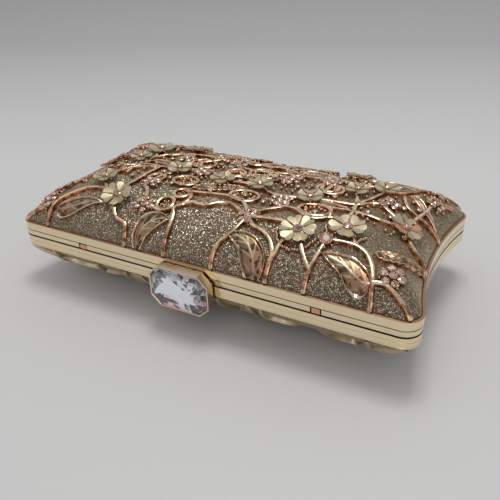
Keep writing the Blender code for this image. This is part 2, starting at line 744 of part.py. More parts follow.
def flower(name, share, radius, turned, rim_height, matrix, material, axis, flat_radius=0.0):
    """Five-petalled blossom on the vines. With a flat_radius it has a flat middle to rest on, and its root
    reaches from the level of the dome's top to the vines."""
    basis = matrix @ skin_basis(share, turned, rim_height, flat_radius > 0)
    middle_radius = max(radius * MIDDLE_SHARE, flat_radius)
    levels = (
        (radius * ROOT_SHARE, 0.0, 0.0), (radius, PETAL_TIP_SHARE, 1.0),
        (radius * THROAT_SHARE, THROAT_HEIGHT_SHARE, THROAT_LOBE_SHARE), (middle_radius, 1.0, 0.0),
    )
    centre = place(share, turned)
    rings = []
    for reach, height_share, lobe in levels:
        ring = []
        for petal in range(FLOWER_PETALS):
            for turn, reach_share in PETAL_SHARES:
                angle = 2 * math.pi * (petal + turn) / FLOWER_PETALS
                distance = reach * (1 - lobe * (1 - reach_share))
                x, y = distance * math.cos(angle), distance * math.sin(angle)
                height = height_share * FLOWER_HEIGHT
                if flat_radius > 0 and not rings:
                    skin = skin_frame(centre[0] + x, centre[1] + y, rim_height)[0]
                    height = skin.z - rim_height - SHELL_RISE
                ring.append(basis @ Vector((x, y, FLOWER_LIFT + height)))
        rings.append(ring)
    work = bmesh.new()
    loft(work, rings)
    return add_object(name, work, material, axis, smooth_angle=30.0)


def frame_half(name, height, grooved, matrix, material, axis):
    """One half of the metal frame: an upright band with a flange at the seam."""
    flange_inset = RIM_WALL + FLANGE_WIDTH
    section = [(RIM_EDGE / 2, HALF_SEAM), (0.0, HALF_SEAM + RIM_EDGE / 2)]
    if grooved:
        section += [(0.0, GROOVE_HEIGHT), (GROOVE_DEPTH, GROOVE_HEIGHT),
                    (GROOVE_DEPTH, GROOVE_HEIGHT + GROOVE_WIDTH), (0.0, GROOVE_HEIGHT + GROOVE_WIDTH)]
    section += [(0.0, height - RIM_EDGE), (RIM_EDGE, height), (RIM_WALL, height), (RIM_WALL, FLANGE_TOP),
                (flange_inset, FLANGE_TOP), (flange_inset, HALF_SEAM)]
    work = bmesh.new()
    loft(work, [frame_ring(inset, level) for inset, level in section], capped=False)
    transform_work(work, matrix)
    return add_object(name, work, material, axis, smooth_angle=30.0)


def dish(name, inset, wall, foot, rim_height, rise, matrix, material, axis, outer_shares, inner_shares):
    """A domed shell of one wall thickness, open at the seam."""
    outer = [dome_ring(share, inset, rise, rim_height) for share in reversed(outer_shares)]
    inner = [dome_ring(share, inset + wall, rise - wall, rim_height) for share in inner_shares]
    outer.append([(x, y, foot) for x, y, _ in outer[-1]])
    inner.insert(0, [(x, y, foot) for x, y, _ in inner[0]])
    work = bmesh.new()
    loft(work, outer + inner)
    transform_work(work, matrix)
    return add_object(name, work, material, axis)


def cut_windows(upper_rim):
    """Windows in the lower band of the upper frame, open to the seam, round the guide tabs."""
    for sign in (-1, 1):
        work = bmesh.new()
        half_width = TAB_WIDTH / 2 + WINDOW_SIDE_CLEARANCE
        box(work, (sign * TAB_PLACE - half_width, -HALF_DEPTH - CUT_OVERRUN, SEAM_HEIGHT - CUT_OVERRUN),
            (sign * TAB_PLACE + half_width, -HALF_DEPTH + RIM_WALL + FLANGE_WIDTH + CUT_OVERRUN,
             SEAM_HEIGHT + GROOVE_HEIGHT + GROOVE_WIDTH / 2))
        cutter = add_object("window_tool", work, upper_rim.data.materials[0])
        combine(upper_rim, cutter, "DIFFERENCE")


def guide_tab(name, sign, material):
    work = bmesh.new()
    bottom = SEAM_HEIGHT - HALF_SEAM + FIT_GAP
    front = -HALF_DEPTH + TAB_RECESS
    left = sign * TAB_PLACE - TAB_SHIFT - TAB_WIDTH / 2
    box(work, (left, front, bottom), (left + TAB_WIDTH, front + TAB_THICKNESS, bottom + TAB_HEIGHT))
    bmesh.ops.bevel(work, geom=list(work.edges), offset=RIM_EDGE, segments=1, affect="EDGES")
    return add_object(name, work, material)


def leaf_of_hinge(name, centre_x, upper, material, axis):
    """Half a barrel hinge: plate on the frame's back face, arms and knuckles round the pin."""
    sign = 1 if upper else -1
    plate_height = HINGE_UPPER_PLATE_HEIGHT if upper else HINGE_LOWER_PLATE_HEIGHT
    back = HALF_DEPTH + FIT_GAP
    start = HINGE_BARREL_RADIUS + 2 * FIT_GAP
    heights = sorted((SEAM_HEIGHT + sign * start, SEAM_HEIGHT + sign * (start + plate_height)))
    work = bmesh.new()
    box(work, (centre_x - HINGE_LENGTH / 2, back, heights[0]),
        (centre_x + HINGE_LENGTH / 2, back + HINGE_PLATE, heights[1]))
    item = add_object(name, work, material, axis)
    middle = HINGE_LENGTH * HINGE_KNUCKLE_SHARE
    side = (HINGE_LENGTH - middle) / 2 - FIT_GAP
    spots = [(centre_x, middle)] if upper else [
        (centre_x - (HINGE_LENGTH - side) / 2, side), (centre_x + (HINGE_LENGTH - side) / 2, side)]
    for spot, length in spots:
        arm = bmesh.new()
        arm_heights = sorted((SEAM_HEIGHT, SEAM_HEIGHT + sign * (start + plate_height / 4)))
        box(arm, (spot - length / 2, back, arm_heights[0]),
            (spot + length / 2, back + HINGE_PLATE, arm_heights[1]))
        combine(item, add_object("hinge_arm_tool", arm, material), "UNION")
        knuckle = bmesh.new()
        barrel(knuckle, (spot, HINGE_AXIS.y, HINGE_AXIS.z), HINGE_BARREL_RADIUS, length)
        combine(item, add_object("knuckle_tool", knuckle, material), "UNION")
    bore = bmesh.new()
    barrel(bore, (centre_x, HINGE_AXIS.y, HINGE_AXIS.z), HINGE_PIN_RADIUS + FIT_GAP,
           HINGE_LENGTH + 2 * CUT_OVERRUN)
    combine(item, add_object("bore_tool", bore, material), "DIFFERENCE")
    return item


def hinge(label, centre_x, brass, steel, lid_axis):
    leaf_of_hinge("hinge_leaf_base_" + label, centre_x, False, brass, None)
    leaf_of_hinge("hinge_leaf_lid_" + label, centre_x, True, brass, lid_axis)
    pin = bmesh.new()
    barrel(pin, (centre_x, HINGE_AXIS.y, HINGE_AXIS.z), HINGE_PIN_RADIUS, HINGE_LENGTH)
    add_object("hinge_pin_" + label, pin, steel)


def octagon(inset, reach):
    """Cut-corner outline of the clasp at an inset, at a reach in front of the frame's face."""
    half_width = BEZEL_WIDTH / 2 - inset
    half_height = BEZEL_HEIGHT / 2 - inset
    corner = BEZEL_CORNER - inset * (2 - math.sqrt(2))
    middle = SEAM_HEIGHT + BEZEL_TOP - BEZEL_HEIGHT / 2
    corners = (
        (half_width - corner, -half_height), (half_width, corner - half_height),
        (half_width, half_height - corner), (half_width - corner, half_height),
        (corner - half_width, half_height), (-half_width, half_height - corner),
        (-half_width, corner - half_height), (corner - half_width, -half_height),
    )
    return [(CLASP_OFFSET + x, -HALF_DEPTH - reach, middle + z) for x, z in corners]


def clasp_bezel(material, axis):
    floor_back = BEZEL_BACK + CLASP_POCKET
    floor_front = floor_back + BEZEL_FLOOR
    levels = ((BEZEL_WALL, floor_back), (BEZEL_WALL, BEZEL_BACK), (0.0, BEZEL_BACK),
              (0.0, BEZEL_FRONT - BEZEL_LIP), (BEZEL_LIP, BEZEL_FRONT), (BEZEL_WALL - BEZEL_LIP, BEZEL_FRONT),
              (BEZEL_WALL, BEZEL_FRONT - BEZEL_LIP), (BEZEL_WALL, floor_front))
    work = bmesh.new()
    loft(work, [octagon(inset, reach) for inset, reach in levels])
    return add_object("crystal_bezel", work, material, axis, smooth_angle=20.0)


def clasp_crystal(material, axis):
    """Step-cut stone: flat back, sloped pavilion, girdle in the bezel and a two-step crown."""
    seat = BEZEL_BACK + CLASP_POCKET + BEZEL_FLOOR + FIT_GAP
    girdle_inset = BEZEL_WALL + FIT_GAP
    girdle = BEZEL_FRONT - CRYSTAL_GIRDLE
    front = seat + CRYSTAL_DEPTH
    crown = front - BEZEL_FRONT
    levels = ((CRYSTAL_CULET_INSET, seat), (girdle_inset, girdle), (girdle_inset, BEZEL_FRONT),
              ((girdle_inset + CRYSTAL_TABLE_INSET) / 2, BEZEL_FRONT + crown * CROWN_STEP_SHARE),
              (CRYSTAL_TABLE_INSET, front))
    work = bmesh.new()
    loft(work, [octagon(inset, reach) for inset, reach in levels])
    return add_object("clasp_crystal", work, material, axis, smooth_angle=10.0)


def clasp_bracket(material, axis):
    """Plate on the upper frame with a knuckle at each end of the clasp pin."""
    face = -HALF_DEPTH - FIT_GAP
    top = CLASP_AXIS.z - CLASP_BARREL_RADIUS - FIT_GAP
    work = bmesh.new()
    box(work, (CLASP_OFFSET - BRACKET_WIDTH / 2, face - BRACKET_PLATE, top - BRACKET_HEIGHT),
        (CLASP_OFFSET + BRACKET_WIDTH / 2, face, top))
    item = add_object("clasp_bracket", work, material, axis)
    for sign in (-1, 1):
        spot = CLASP_OFFSET + sign * (BRACKET_WIDTH - BRACKET_KNUCKLE) / 2
        arm = bmesh.new()
        box(arm, (spot - BRACKET_KNUCKLE / 2, face - BRACKET_PLATE, top - BRACKET_HEIGHT / 2),
            (spot + BRACKET_KNUCKLE / 2, face, CLASP_AXIS.z))
        combine(item, add_object("bracket_arm_tool", arm, material), "UNION")
        knuckle = bmesh.new()
        barrel(knuckle, (spot, CLASP_AXIS.y, CLASP_AXIS.z), CLASP_BARREL_RADIUS, BRACKET_KNUCKLE)
        combine(item, add_object("bracket_knuckle_tool", knuckle, material), "UNION")
    bore = bmesh.new()
    barrel(bore, CLASP_AXIS, CLASP_PIN_RADIUS + FIT_GAP / 2, BRACKET_WIDTH + 2 * CUT_OVERRUN)
    combine(item, add_object("bracket_bore_tool", bore, material), "DIFFERENCE")
    return item


def clasp_lever(material, axis):
    """Sprung plate behind the stone, with its knuckle on the pin and a nose over the catch."""
    front = -HALF_DEPTH - BEZEL_BACK - CLASP_POCKET + FIT_GAP
    back = front + LEVER_PLATE
    bottom = CLASP_AXIS.z - LEVER_LENGTH
    work = bmesh.new()
    box(work, (CLASP_OFFSET - LEVER_WIDTH / 2, front, bottom),
        (CLASP_OFFSET + LEVER_WIDTH / 2, back, CLASP_AXIS.z))
    item = add_object("clasp_lever", work, material, axis)
    knuckle = bmesh.new()
    barrel(knuckle, CLASP_AXIS, CLASP_BARREL_RADIUS, LEVER_WIDTH)
    combine(item, add_object("lever_knuckle_tool", knuckle, material), "UNION")
    nose = bmesh.new()
    nose_back = -HALF_DEPTH - 2 * FIT_GAP - BRACKET_PLATE - CATCH_RIDGE
    box(nose, (CLASP_OFFSET - LEVER_WIDTH / 2, front + LEVER_PLATE / 2, bottom),
        (CLASP_OFFSET + LEVER_WIDTH / 2, nose_back, bottom + NOSE_HEIGHT))
    combine(item, add_object("lever_nose_tool", nose, material), "UNION")
    bore = bmesh.new()
    barrel(bore, CLASP_AXIS, CLASP_PIN_RADIUS + FIT_GAP / 2, LEVER_WIDTH + 2 * CUT_OVERRUN)
    combine(item, add_object("lever_bore_tool", bore, material), "DIFFERENCE")
    return item


def catch_plate(material):
    """Strike plate on the lower frame with the ridge that the nose snaps over."""
    face = -HALF_DEPTH - FIT_GAP
    top = SEAM_HEIGHT - FLANGE_TOP
    work = bmesh.new()
    box(work, (CLASP_OFFSET - CATCH_WIDTH / 2, face - BRACKET_PLATE, top - CATCH_HEIGHT),
        (CLASP_OFFSET + CATCH_WIDTH / 2, face, top))
    item = add_object("catch_plate", work, material)
    ridge = bmesh.new()
    barrel(ridge, (CLASP_OFFSET, face - BRACKET_PLATE, top - CATCH_HEIGHT / 2), CATCH_RIDGE, LEVER_WIDTH)
    combine(item, add_object("ridge_tool", ridge, material), "UNION")
    return item


def clasp(brass, crystal, steel, lid_axis, clasp_axis):
    clasp_bracket(brass, lid_axis)
    clasp_lever(brass, clasp_axis)
    clasp_bezel(brass, clasp_axis)
    clasp_crystal(crystal, clasp_axis)
    catch_plate(brass)
    pin = bmesh.new()
    barrel(pin, CLASP_AXIS, CLASP_PIN_RADIUS, BRACKET_WIDTH)
    add_object("clasp_pin", pin, steel, lid_axis)


def main():
    clear_scene()
    brass = make_material("champagne_gold", (0.78, 0.66, 0.47), 0.14, 1.0)
    rose = make_material("rose_gold", (0.80, 0.56, 0.43), 0.16, 1.0)
    glitter = make_material("glitter_fabric", (0.27, 0.22, 0.16), 0.55, 0.3)
    satin = make_material("lining_satin", (0.30, 0.25, 0.19), 0.45, 0.0)
    steel = make_material("pin_steel", (0.60, 0.58, 0.55), 0.25, 1.0)
    crystal = make_material("clear_crystal", (0.92, 0.93, 0.95), 0.03, 0.0, transmission=0.9)
    lid_axis = make_axis("lid_axis", HINGE_AXIS)
    clasp_axis = make_axis("clasp_axis", CLASP_AXIS)
    upper = Matrix.Translation((0, 0, SEAM_HEIGHT))
    lower = upper @ Matrix.Rotation(math.pi, 4, "Y")

    upper_rim = frame_half("upper_rim", UPPER_RIM_HEIGHT, True, upper, brass, lid_axis)
    cut_windows(upper_rim)
    frame_half("lower_rim", LOWER_RIM_HEIGHT, False, lower, brass, None)
    guide_tab("guide_tab_left", -1, rose)
    guide_tab("guide_tab_right", 1, rose)

    lining_inset = SHELL_INSET + SHELL_WALL + FIT_GAP
    lining_rise = SHELL_RISE - SHELL_WALL - FIT_GAP
    for half, rim_height, matrix, axis in (("upper", UPPER_RIM_HEIGHT, upper, lid_axis),
                                           ("lower", LOWER_RIM_HEIGHT, lower, None)):
        dish(half + "_shell", SHELL_INSET, SHELL_WALL, SHELL_FOOT, rim_height, SHELL_RISE, matrix, glitter,
             axis, DOME_SHARES, INNER_DOME_SHARES)
        dish(half + "_lining", lining_inset, LINING_WALL, SHELL_FOOT, rim_height, lining_rise, matrix, satin,
             axis, LINING_DOME_SHARES, LINING_DOME_SHARES)

    places = [share for _, share, _ in FLOWER_SHARES]
    openwork("upper_openwork",
             ([GARLAND_SHARES, *TOP_STEM_SHARES], TOP_LEAF_SHARES, (), (), TOP_CLUSTER_SHARES),
             (STEM_SHARES, LEAF_SHARES, RING_SHARES, places, CLUSTER_SHARES),
             UPPER_RIM_HEIGHT, upper, rose, lid_axis)
    openwork("lower_openwork",
             ([GARLAND_SHARES], (), (), (), ()),
             ([STEM_SHARES[index] for index in LOWER_STEMS], [LEAF_SHARES[index] for index in LOWER_LEAVES],
              (), places, ()),
             LOWER_RIM_HEIGHT, lower, rose, None)
    for turned, side in ((False, "near"), (True, "far")):
        for label, share, radius_share in FLOWER_SHARES:
            radius = FLOWER_RADIUS * radius_share
            flower("upper_flower_" + side + "_" + label, share, radius, turned, UPPER_RIM_HEIGHT, upper, rose,
                   lid_axis)
            if label in LOWER_FLOWERS:
                flower("lower_flower_" + side + "_" + label, share, radius, turned, LOWER_RIM_HEIGHT, lower,
                       rose, None, REST_FLAT_RADIUS)
    for label, share, radius_share in TOP_FLOWER_SHARES:
        flower("upper_flower_top_" + label, share, FLOWER_RADIUS * radius_share, False, UPPER_RIM_HEIGHT,
               upper, rose, lid_axis)
    flower("lower_flower_centre", (0, 0), FLOWER_RADIUS, False, LOWER_RIM_HEIGHT, lower, rose, None,
           REST_FLAT_RADIUS)

    hinge("left", -HINGE_PLACE, brass, steel, lid_axis)
    hinge("right", HINGE_PLACE, brass, steel, lid_axis)
    clasp(brass, crystal, steel, lid_axis, clasp_axis)


main()
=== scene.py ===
"""Looks for a hard evening clutch: polished frame, glitter cloth, cast floral openwork and stones."""

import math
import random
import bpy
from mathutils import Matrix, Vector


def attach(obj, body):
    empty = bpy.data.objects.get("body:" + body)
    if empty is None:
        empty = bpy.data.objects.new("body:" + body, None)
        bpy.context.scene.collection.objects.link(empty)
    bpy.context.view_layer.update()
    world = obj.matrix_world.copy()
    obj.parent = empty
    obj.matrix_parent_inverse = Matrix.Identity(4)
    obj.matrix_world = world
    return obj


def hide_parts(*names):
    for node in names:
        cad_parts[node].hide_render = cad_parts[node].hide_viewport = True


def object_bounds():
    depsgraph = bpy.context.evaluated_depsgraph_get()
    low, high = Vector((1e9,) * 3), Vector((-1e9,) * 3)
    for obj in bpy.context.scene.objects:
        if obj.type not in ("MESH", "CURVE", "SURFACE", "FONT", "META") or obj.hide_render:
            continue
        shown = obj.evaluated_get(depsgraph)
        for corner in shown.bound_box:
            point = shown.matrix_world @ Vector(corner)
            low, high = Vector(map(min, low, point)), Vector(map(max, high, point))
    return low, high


bl_info = {
    "name": "Evening Clutch Finish",
    "version": (1, 0, 0),
    "blender": (4, 5, 0),
    "location": "View3D > Sidebar > Clutch",
    "description": "Builds the finish of a hard evening clutch round its packed frame",
    "category": "Object",
}

import bmesh
import bpy
from bpy.props import FloatProperty, FloatVectorProperty, IntProperty, PointerProperty
from mathutils import Matrix, Vector

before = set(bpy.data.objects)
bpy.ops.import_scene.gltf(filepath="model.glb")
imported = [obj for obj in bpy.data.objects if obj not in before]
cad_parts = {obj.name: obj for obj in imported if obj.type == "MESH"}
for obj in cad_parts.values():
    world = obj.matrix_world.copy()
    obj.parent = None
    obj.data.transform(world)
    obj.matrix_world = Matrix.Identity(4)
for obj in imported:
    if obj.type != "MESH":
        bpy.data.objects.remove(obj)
CAD_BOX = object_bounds()

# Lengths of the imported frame
HALF_LENGTH = 0.1070
HALF_DEPTH = 0.0532
END_SAG = 0.0090
CORNER_RADIUS = 0.0080
END_RADIUS = (HALF_DEPTH ** 2 + END_SAG ** 2) / (2 * END_SAG)
END_MIDDLE = HALF_LENGTH - END_SAG + END_RADIUS
SEAM_HEIGHT = 0.0268
HALF_SEAM = 0.00035
UPPER_RIM = 0.0075
LOWER_RIM = 0.0060
RIM_WALL = 0.0012
FLANGE_REACH = 0.0035
FLANGE_TOP = 0.00115
GROOVE_HEIGHT = 0.0029
GROOVE_WIDTH = 0.0004
SEAM_REACH = 0.0014
SHELL_INSET = 0.0015
SHELL_RISE = 0.0170
SHELL_RUN = 0.0271
SHELL_POWER = 1.52
CORNER_GROWTH = 0.60
SHELL_FOOT = 0.00145
SHELL_EDGE = HALF_DEPTH - SHELL_INSET - 0.0025 * SHELL_RUN
SHELL_WALL = 0.0015
LINING_INSET = 0.0033
LINING_RISE = 0.0152
LINING_WALL = 0.0008
TAB_PLACE = 0.0620
WINDOW_WIDTH = 0.0050
FLOWER_LIFT = 0.0020
FLOWER_HEIGHT = 0.0018
PETAL_LIFT = FLOWER_LIFT - 0.0002
CLASP_OFFSET = -0.0025
BEZEL_WIDTH = 0.0316
BEZEL_HEIGHT = 0.0217
BEZEL_CORNER = 0.0050
BEZEL_TOP = 0.0063
BEZEL_WALL = 0.0008
BEZEL_BACK = 0.0009
BEZEL_FLOOR = 0.0026
BEZEL_FRONT = 0.0056
CRYSTAL_FRONT = 0.0069
# Engraved lines of each frame band, as height, width and depth
ENGRAVED = {"upper": ((GROOVE_HEIGHT, GROOVE_WIDTH, 0.0004),),
            "lower": ((0.0026, 0.0002, 0.00012), (0.0049, 0.0002, 0.00012))}

# Facets of round and curved forms
CORNER_STEPS = 14
END_STEPS = 22
EDGE_STEPS = 24
DOME_SHARES = (0.0, 0.004, 0.012, 0.025, 0.045, 0.07, 0.1, 0.135, 0.175, 0.22, 0.27,
               0.325, 0.385, 0.45, 0.52, 0.59, 0.66, 0.73, 0.8, 0.87, 0.94, 1.0)
INNER_DOME_SHARES = (0.0, 0.02, 0.06, 0.12, 0.2, 0.3, 0.42, 0.56, 0.72, 0.88, 1.0)

# Layout of the castings, in millimetres on the plan of the lid's near half, from the clutch's middle
MILLIMETRE = 0.001
VINES = (
    ((-84, -54), (-84.3, -48), (-83, -43), (-79, -38), (-73, -33), (-67, -31), (-60, -31.5), (-51.5, -33.5)),
    ((-100, -51), (-93, -48), (-87, -45), (-83, -43)),
    ((-51.5, -33.5), (-49, -40), (-45, -44), (-39, -45.5), (-36.5, -49), (-35.5, -54)),
    ((-13.5, -54), (-14.5, -45), (-16, -38), (-18.5, -33.5)),
    ((-29, -35.5), (-24, -36.5), (-18.5, -33.5), (-12, -28), (-8, -28.2), (-3, -27.5), (1, -24), (5, -22.5),
     (9, -24), (14, -27), (19, -29)),
    ((-15, -31), (-14, -26), (-16, -22), (-19, -20), (-8, -17.5), (0, -16), (8, -17), (13, -21), (19, -29)),
    ((12, -54), (11.5, -48), (13, -43), (16.5, -38), (19, -29)),
    ((19, -29), (23.6, -33.4), (29.8, -35.3), (34.2, -38.2), (37.6, -42.4), (38.4, -46.2), (38.3, -54)),
    ((38.3, -46.2), (39.2, -43.0), (39.8, -38.2), (44.3, -31)),
    ((19, -29), (28, -28), (36, -27.5), (44.3, -31)),
    ((56, -54), (56, -46), (57, -40), (58, -32.5)),
    ((44.3, -31), (49, -38), (52, -42), (56, -46)),
    ((84.5, -54), (83.5, -49), (82, -44), (79.5, -38.5), (76, -34), (71, -31.5), (65, -31.5), (58, -32.5)),
    ((71, -31.5), (67, -27), (63.5, -22.5)),
    ((82.3, -45), (87, -44.5), (92, -46.5), (100, -51)),
    ((63.5, -22.5), (61, -14), (61, -7), (60, 0)),
    ((31, -15), (36, -15.5), (41, -19), (46, -20.5), (50, -19), (54, -16.5), (58, -17.5), (63.5, -22.5)),
    ((19, -29), (25, -21), (31, -15), (30, -10), (28, -5)),
    ((44.3, -31), (45, -25), (46, -20.5)),
    ((84, -4.5), (88, -12), (93, -16), (99, -19)),
    ((84, -4.5), (76, -8.5), (68, -8), (61, -7)),
    ((84, -4.5), (85, 3), (86, 10.5)),
    ((77, 21), (79, 15), (82, 12), (86, 10.5), (91, 10.5), (98, 12)),
    ((86, 10.5), (88, 19), (90, 30), (97, 37)),
    ((-68, -22), (-64, -27), (-60, -31.5)),
    ((-68, -22), (-66, -12), (-60, 0)),
    ((-34, -35), (-38, -27), (-43, -22), (-42, -10), (-38, 2)),
    ((-10.5, -12), (-8, -17.5)),
)
# Those of the vines that the underside has as well
LOWER_VINES = (0, 1, 2, 3, 4, 6, 7, 8, 10, 11, 12, 13, 14, 15, 16, 17, 18, 19, 24, 25)
GARLAND = ((-84, 4.5), (-76, -1), (-68, -5), (-60, 0), (-48, 1), (-38, 2), (-28, 5), (-19, 5), (-10, -1),
           (0, 0), (10, 1), (19, -5), (28, -5), (38, -2), (48, -1), (60, 0), (68, 5), (76, 1), (84, -4.5))
# Both edges of each leaf, from its base to its tip, and the number of feathered strokes
LEAVES = (
    (((-80.5, -46), (-78.3, -49), (-73.4, -48.5), (-68.6, -45.9), (-64.5, -42.6), (-57, -38.5)),
     ((-80.5, -46), (-79, -43.2), (-74.5, -40.3), (-69.5, -38.2), (-64, -37.4), (-57, -38.5)), 0),
    (((-29, -53), (-31.6, -50.5), (-32.6, -46), (-31.5, -41.5), (-28, -38.3), (-22.5, -37.4),
      (-16.5, -39.3)),
     ((-29, -53), (-26, -51), (-24.4, -48), (-21.5, -44.5), (-18.7, -41.5), (-16.5, -39.3)), 0),
    (((32, -52.8), (28.4, -51.8), (26.3, -50), (24.2, -47.5), (21.9, -44.7), (17.4, -42), (13.3, -39.7)),
     ((32, -52.8), (35.8, -51), (36.6, -48.5), (36, -46), (33.6, -42.7), (30, -39.8), (25.4, -37.6),
      (19.6, -37.4), (13.3, -39.7)), 0),
    (((82, -45.3), (81.6, -48.3), (79.6, -50), (77, -50.2), (74.5, -49.3), (71.9, -47.8), (68.7, -45),
      (63.3, -42.1), (57.5, -38.4)),
     ((82, -45.3), (79.6, -42.2), (74.8, -38.9), (70, -37.4), (63.6, -37.3), (57.5, -38.4)), 0),
    (((98, -21), (96.7, -25.3), (92.9, -28.8), (88, -32.4), (81.6, -34.2), (78, -31.6)),
     ((98, -21), (96, -20.8), (91.7, -23.6), (86.9, -26.6), (82.5, -28.4), (78, -31.6)), 9),
    (((-20.1, -15.5), (-14.4, -16.1), (-9.1, -14.6), (0.6, -10), (5.4, -4.5)),
     ((-20.1, -15.5), (-17.5, -10.5), (-11.4, -6.5), (-2.9, -4.5), (5.4, -4.5)), 11),
    (((36, -3.5), (45, -7.6), (54, -8.3), (60, -6)), ((36, -3.5), (45, -3), (54, -4), (60, -6)), 0),
    (((77.8, 26), (82, 20.8), (85.8, 17.5), (90.3, 15.2), (95.2, 13.4)),
     ((77.8, 26), (83.2, 25.4), (87.6, 21.3), (91.5, 17.4), (95.2, 13.4)), 0),
)
TOP_LEAVES = (
    (((-69.5, -10), (-64.3, -8.8), (-58.8, -4), (-49.2, -0.6)),
     ((-69.5, -10), (-66, -4), (-58, 0.6), (-49.2, -0.6)), 0),
    (((64.5, 20.5), (66.2, 27), (70.5, 31.3), (76, 34.6), (81.5, 35.5)),
     ((64.5, 20.5), (70.5, 20.5), (75.5, 24.5), (79.2, 29.4), (81.5, 35.5)), 0),
    (((-32, 24), (-24, 21), (-16, 22), (-8, 27)), ((-32, 24), (-25, 28.5), (-16, 30), (-8, 27)), 9),
    (((20, 22), (27, 19.5), (35, 20.5), (41, 25)), ((20, 22), (26, 26), (34, 27.5), (41, 25)), 0),
)
TOP_VINES = (
    ((-60, 0), (-66.5, 7)),
    ((60, 0), (56, 15)),
    ((-51.8, -30), (-50.6, -20), (-50.7, -12.3), (-49, 1)),
    ((-61.5, -13.7), (-62.5, -4.1), (-61.5, 6), (-56, 16), (-44, 22), (-30, 24.5)),
    ((-10, 26.5), (2, 24), (12, 25), (22, 22)),
    ((39, 24), (50, 22), (58, 22), (66.5, 22.5)),
)
SCROLLS = ((-24, -32), (-20.5, -22.5), (-43, -12))
# Beaded loops: middle, half length and half width
LOOPS = ((-27, -9.5, 6.6, 5.2), (8.5, -12.8, 7.4, 5.6), (44.5, -12.6, 7.6, 5.4), (43.5, 11, 6.8, 5.2),
         (5.6, 14, 7.4, 5.4), (-30, 13.5, 7, 5.2), (-8, 9.5, 5, 4.4))
# Clusters of stones: middle and scale
CLUSTERS = (
    ((19, -29), 1.0),
    ((88.5, -40), 1.1),
    ((-34, -35), 1.1),
    ((58, -32.5), 0.65),
    ((90, 30), 1.1),
    ((-41.5, -18.5), 0.95),
    ((-89, -42.5), 0.75),
)
TOP_CLUSTERS = (
    ((-23.6, 3.2), 0.95),
    ((-42, 15.5), 1.0),
    ((22, 13), 1.0),
    ((26, -10.5), 0.95),
    ((-11.5, 18), 0.9),
    ((60.5, 27.5), 0.65),
    ((-76, -13), 0.75),
    ((-75, 12), 0.95),
    ((-4, 34), 1.0),
    ((73, 8), 0.75),
)
# Blossoms: label, middle, radius, number of petals and turn in degrees
BLOSSOMS = (
    ("a", (-51.5, -33.5), 8.0, 5, 18),
    ("b", (44.3, -31), 8.5, 6, 4),
    ("c", (63.5, -22.5), 8.3, 5, -8),
    ("d", (84, -4.5), 8.0, 5, 30),
    ("e", (-68, -22), 6.6, 5, 12),
    ("f", (-38, 2), 6.8, 5, 40),
    ("g", (10, 1), 6.8, 5, 0),
)
TOP_BLOSSOMS = (("left", (-66.5, 7), 6.2, 5, 10), ("right", (56, 15), 6.4, 5, 25))
LOWER_BLOSSOMS = ("c", "e", "f")

# Cross-section of a vine, as shares of its half width and of its height
VINE_SECTION = ((-1.0, -0.1), (-1.0, 0.55), (-0.82, 0.88), (-0.4, 1.0),
                (0.4, 1.0), (0.82, 0.88), (1.0, 0.55), (1.0, -0.1))
# Steps of the castings, and the height over which a vine rises from its foot
VINE_STEP = 0.0011
CLOSEST_STEP = 0.00025
FOOT_CLIMB = 0.006
LEAF_STEP = 0.0006
LEAF_COLUMNS = 32
LEAF_STRIDE = 4
PETAL_STEPS = 10
LOOP_STEPS = 28
SCROLL_STEPS = 24
# Radius of a scroll ring and of the circle of its beads, in millimetres
SCROLL_RADIUS = 4.2
SCROLL_BEADS = 1.9
# Scales over which a cluster has five and six stones round its middle one
SMALL_CLUSTER = 0.7
LARGE_CLUSTER = 0.9
# Arc of beads below a blossom, in degrees
GARNISH_COUNT = 22
GARNISH_START = -168
GARNISH_STEP = 7.2
# Loose beads and stones: most tries, most pieces, spacing in millimetres and lowest place on the dome
LOOSE_TRIES = 2600
LOOSE_COUNT = 330
LOOSE_SPACING = 2.5
LOOSE_SHARE = 0.35
# Polar angles of a bead's rings, and profiles of round forms as reach, height and turn
BEAD_RINGS = (0.25, 0.80, 1.32, 1.82, 2.34, 2.89)
BEAD_ANGLES = [math.tau * side / 9 for side in range(9)]
WIRE_ANGLES = [math.tau * side / 6 for side in range(6)]
STONE_PROFILE = ((0.02, -0.55, 0.0), (1.0, -0.05, 0.0), (1.0, 0.05, 0.0), (0.80, 0.26, 0.5),
                 (0.56, 0.38, 0.0))
SETTING_PROFILE = ((0.95, -1.1), (1.14, -0.3), (1.24, 0.0), (1.20, 0.15), (1.10, 0.19), (1.0, 0.12),
                   (0.88, -0.1), (0.5, -0.6))
SOLE_PROFILE = ((0.0016, FLOWER_LIFT), (0.0031, FLOWER_LIFT + 0.0007), (0.0031, FLOWER_LIFT + 0.0015),
                (0.0027, FLOWER_LIFT + FLOWER_HEIGHT))
STAMEN_RADIUS = 0.0002
STAMEN_LIFT = 0.0003
STAMEN_KNOB = 0.0005
# Heights of beads and small stones over the shell
RING_BEAD_LIFT = 0.0008
LOOSE_BEAD_LIFT = 0.0009
CLUSTER_BEAD_LIFT = 0.0010
LOOSE_STONE_LIFT = 0.0015
CLUSTER_STONE_LIFT = 0.0018

BLACK, WHITE = (0, 0, 0), (1, 1, 1)


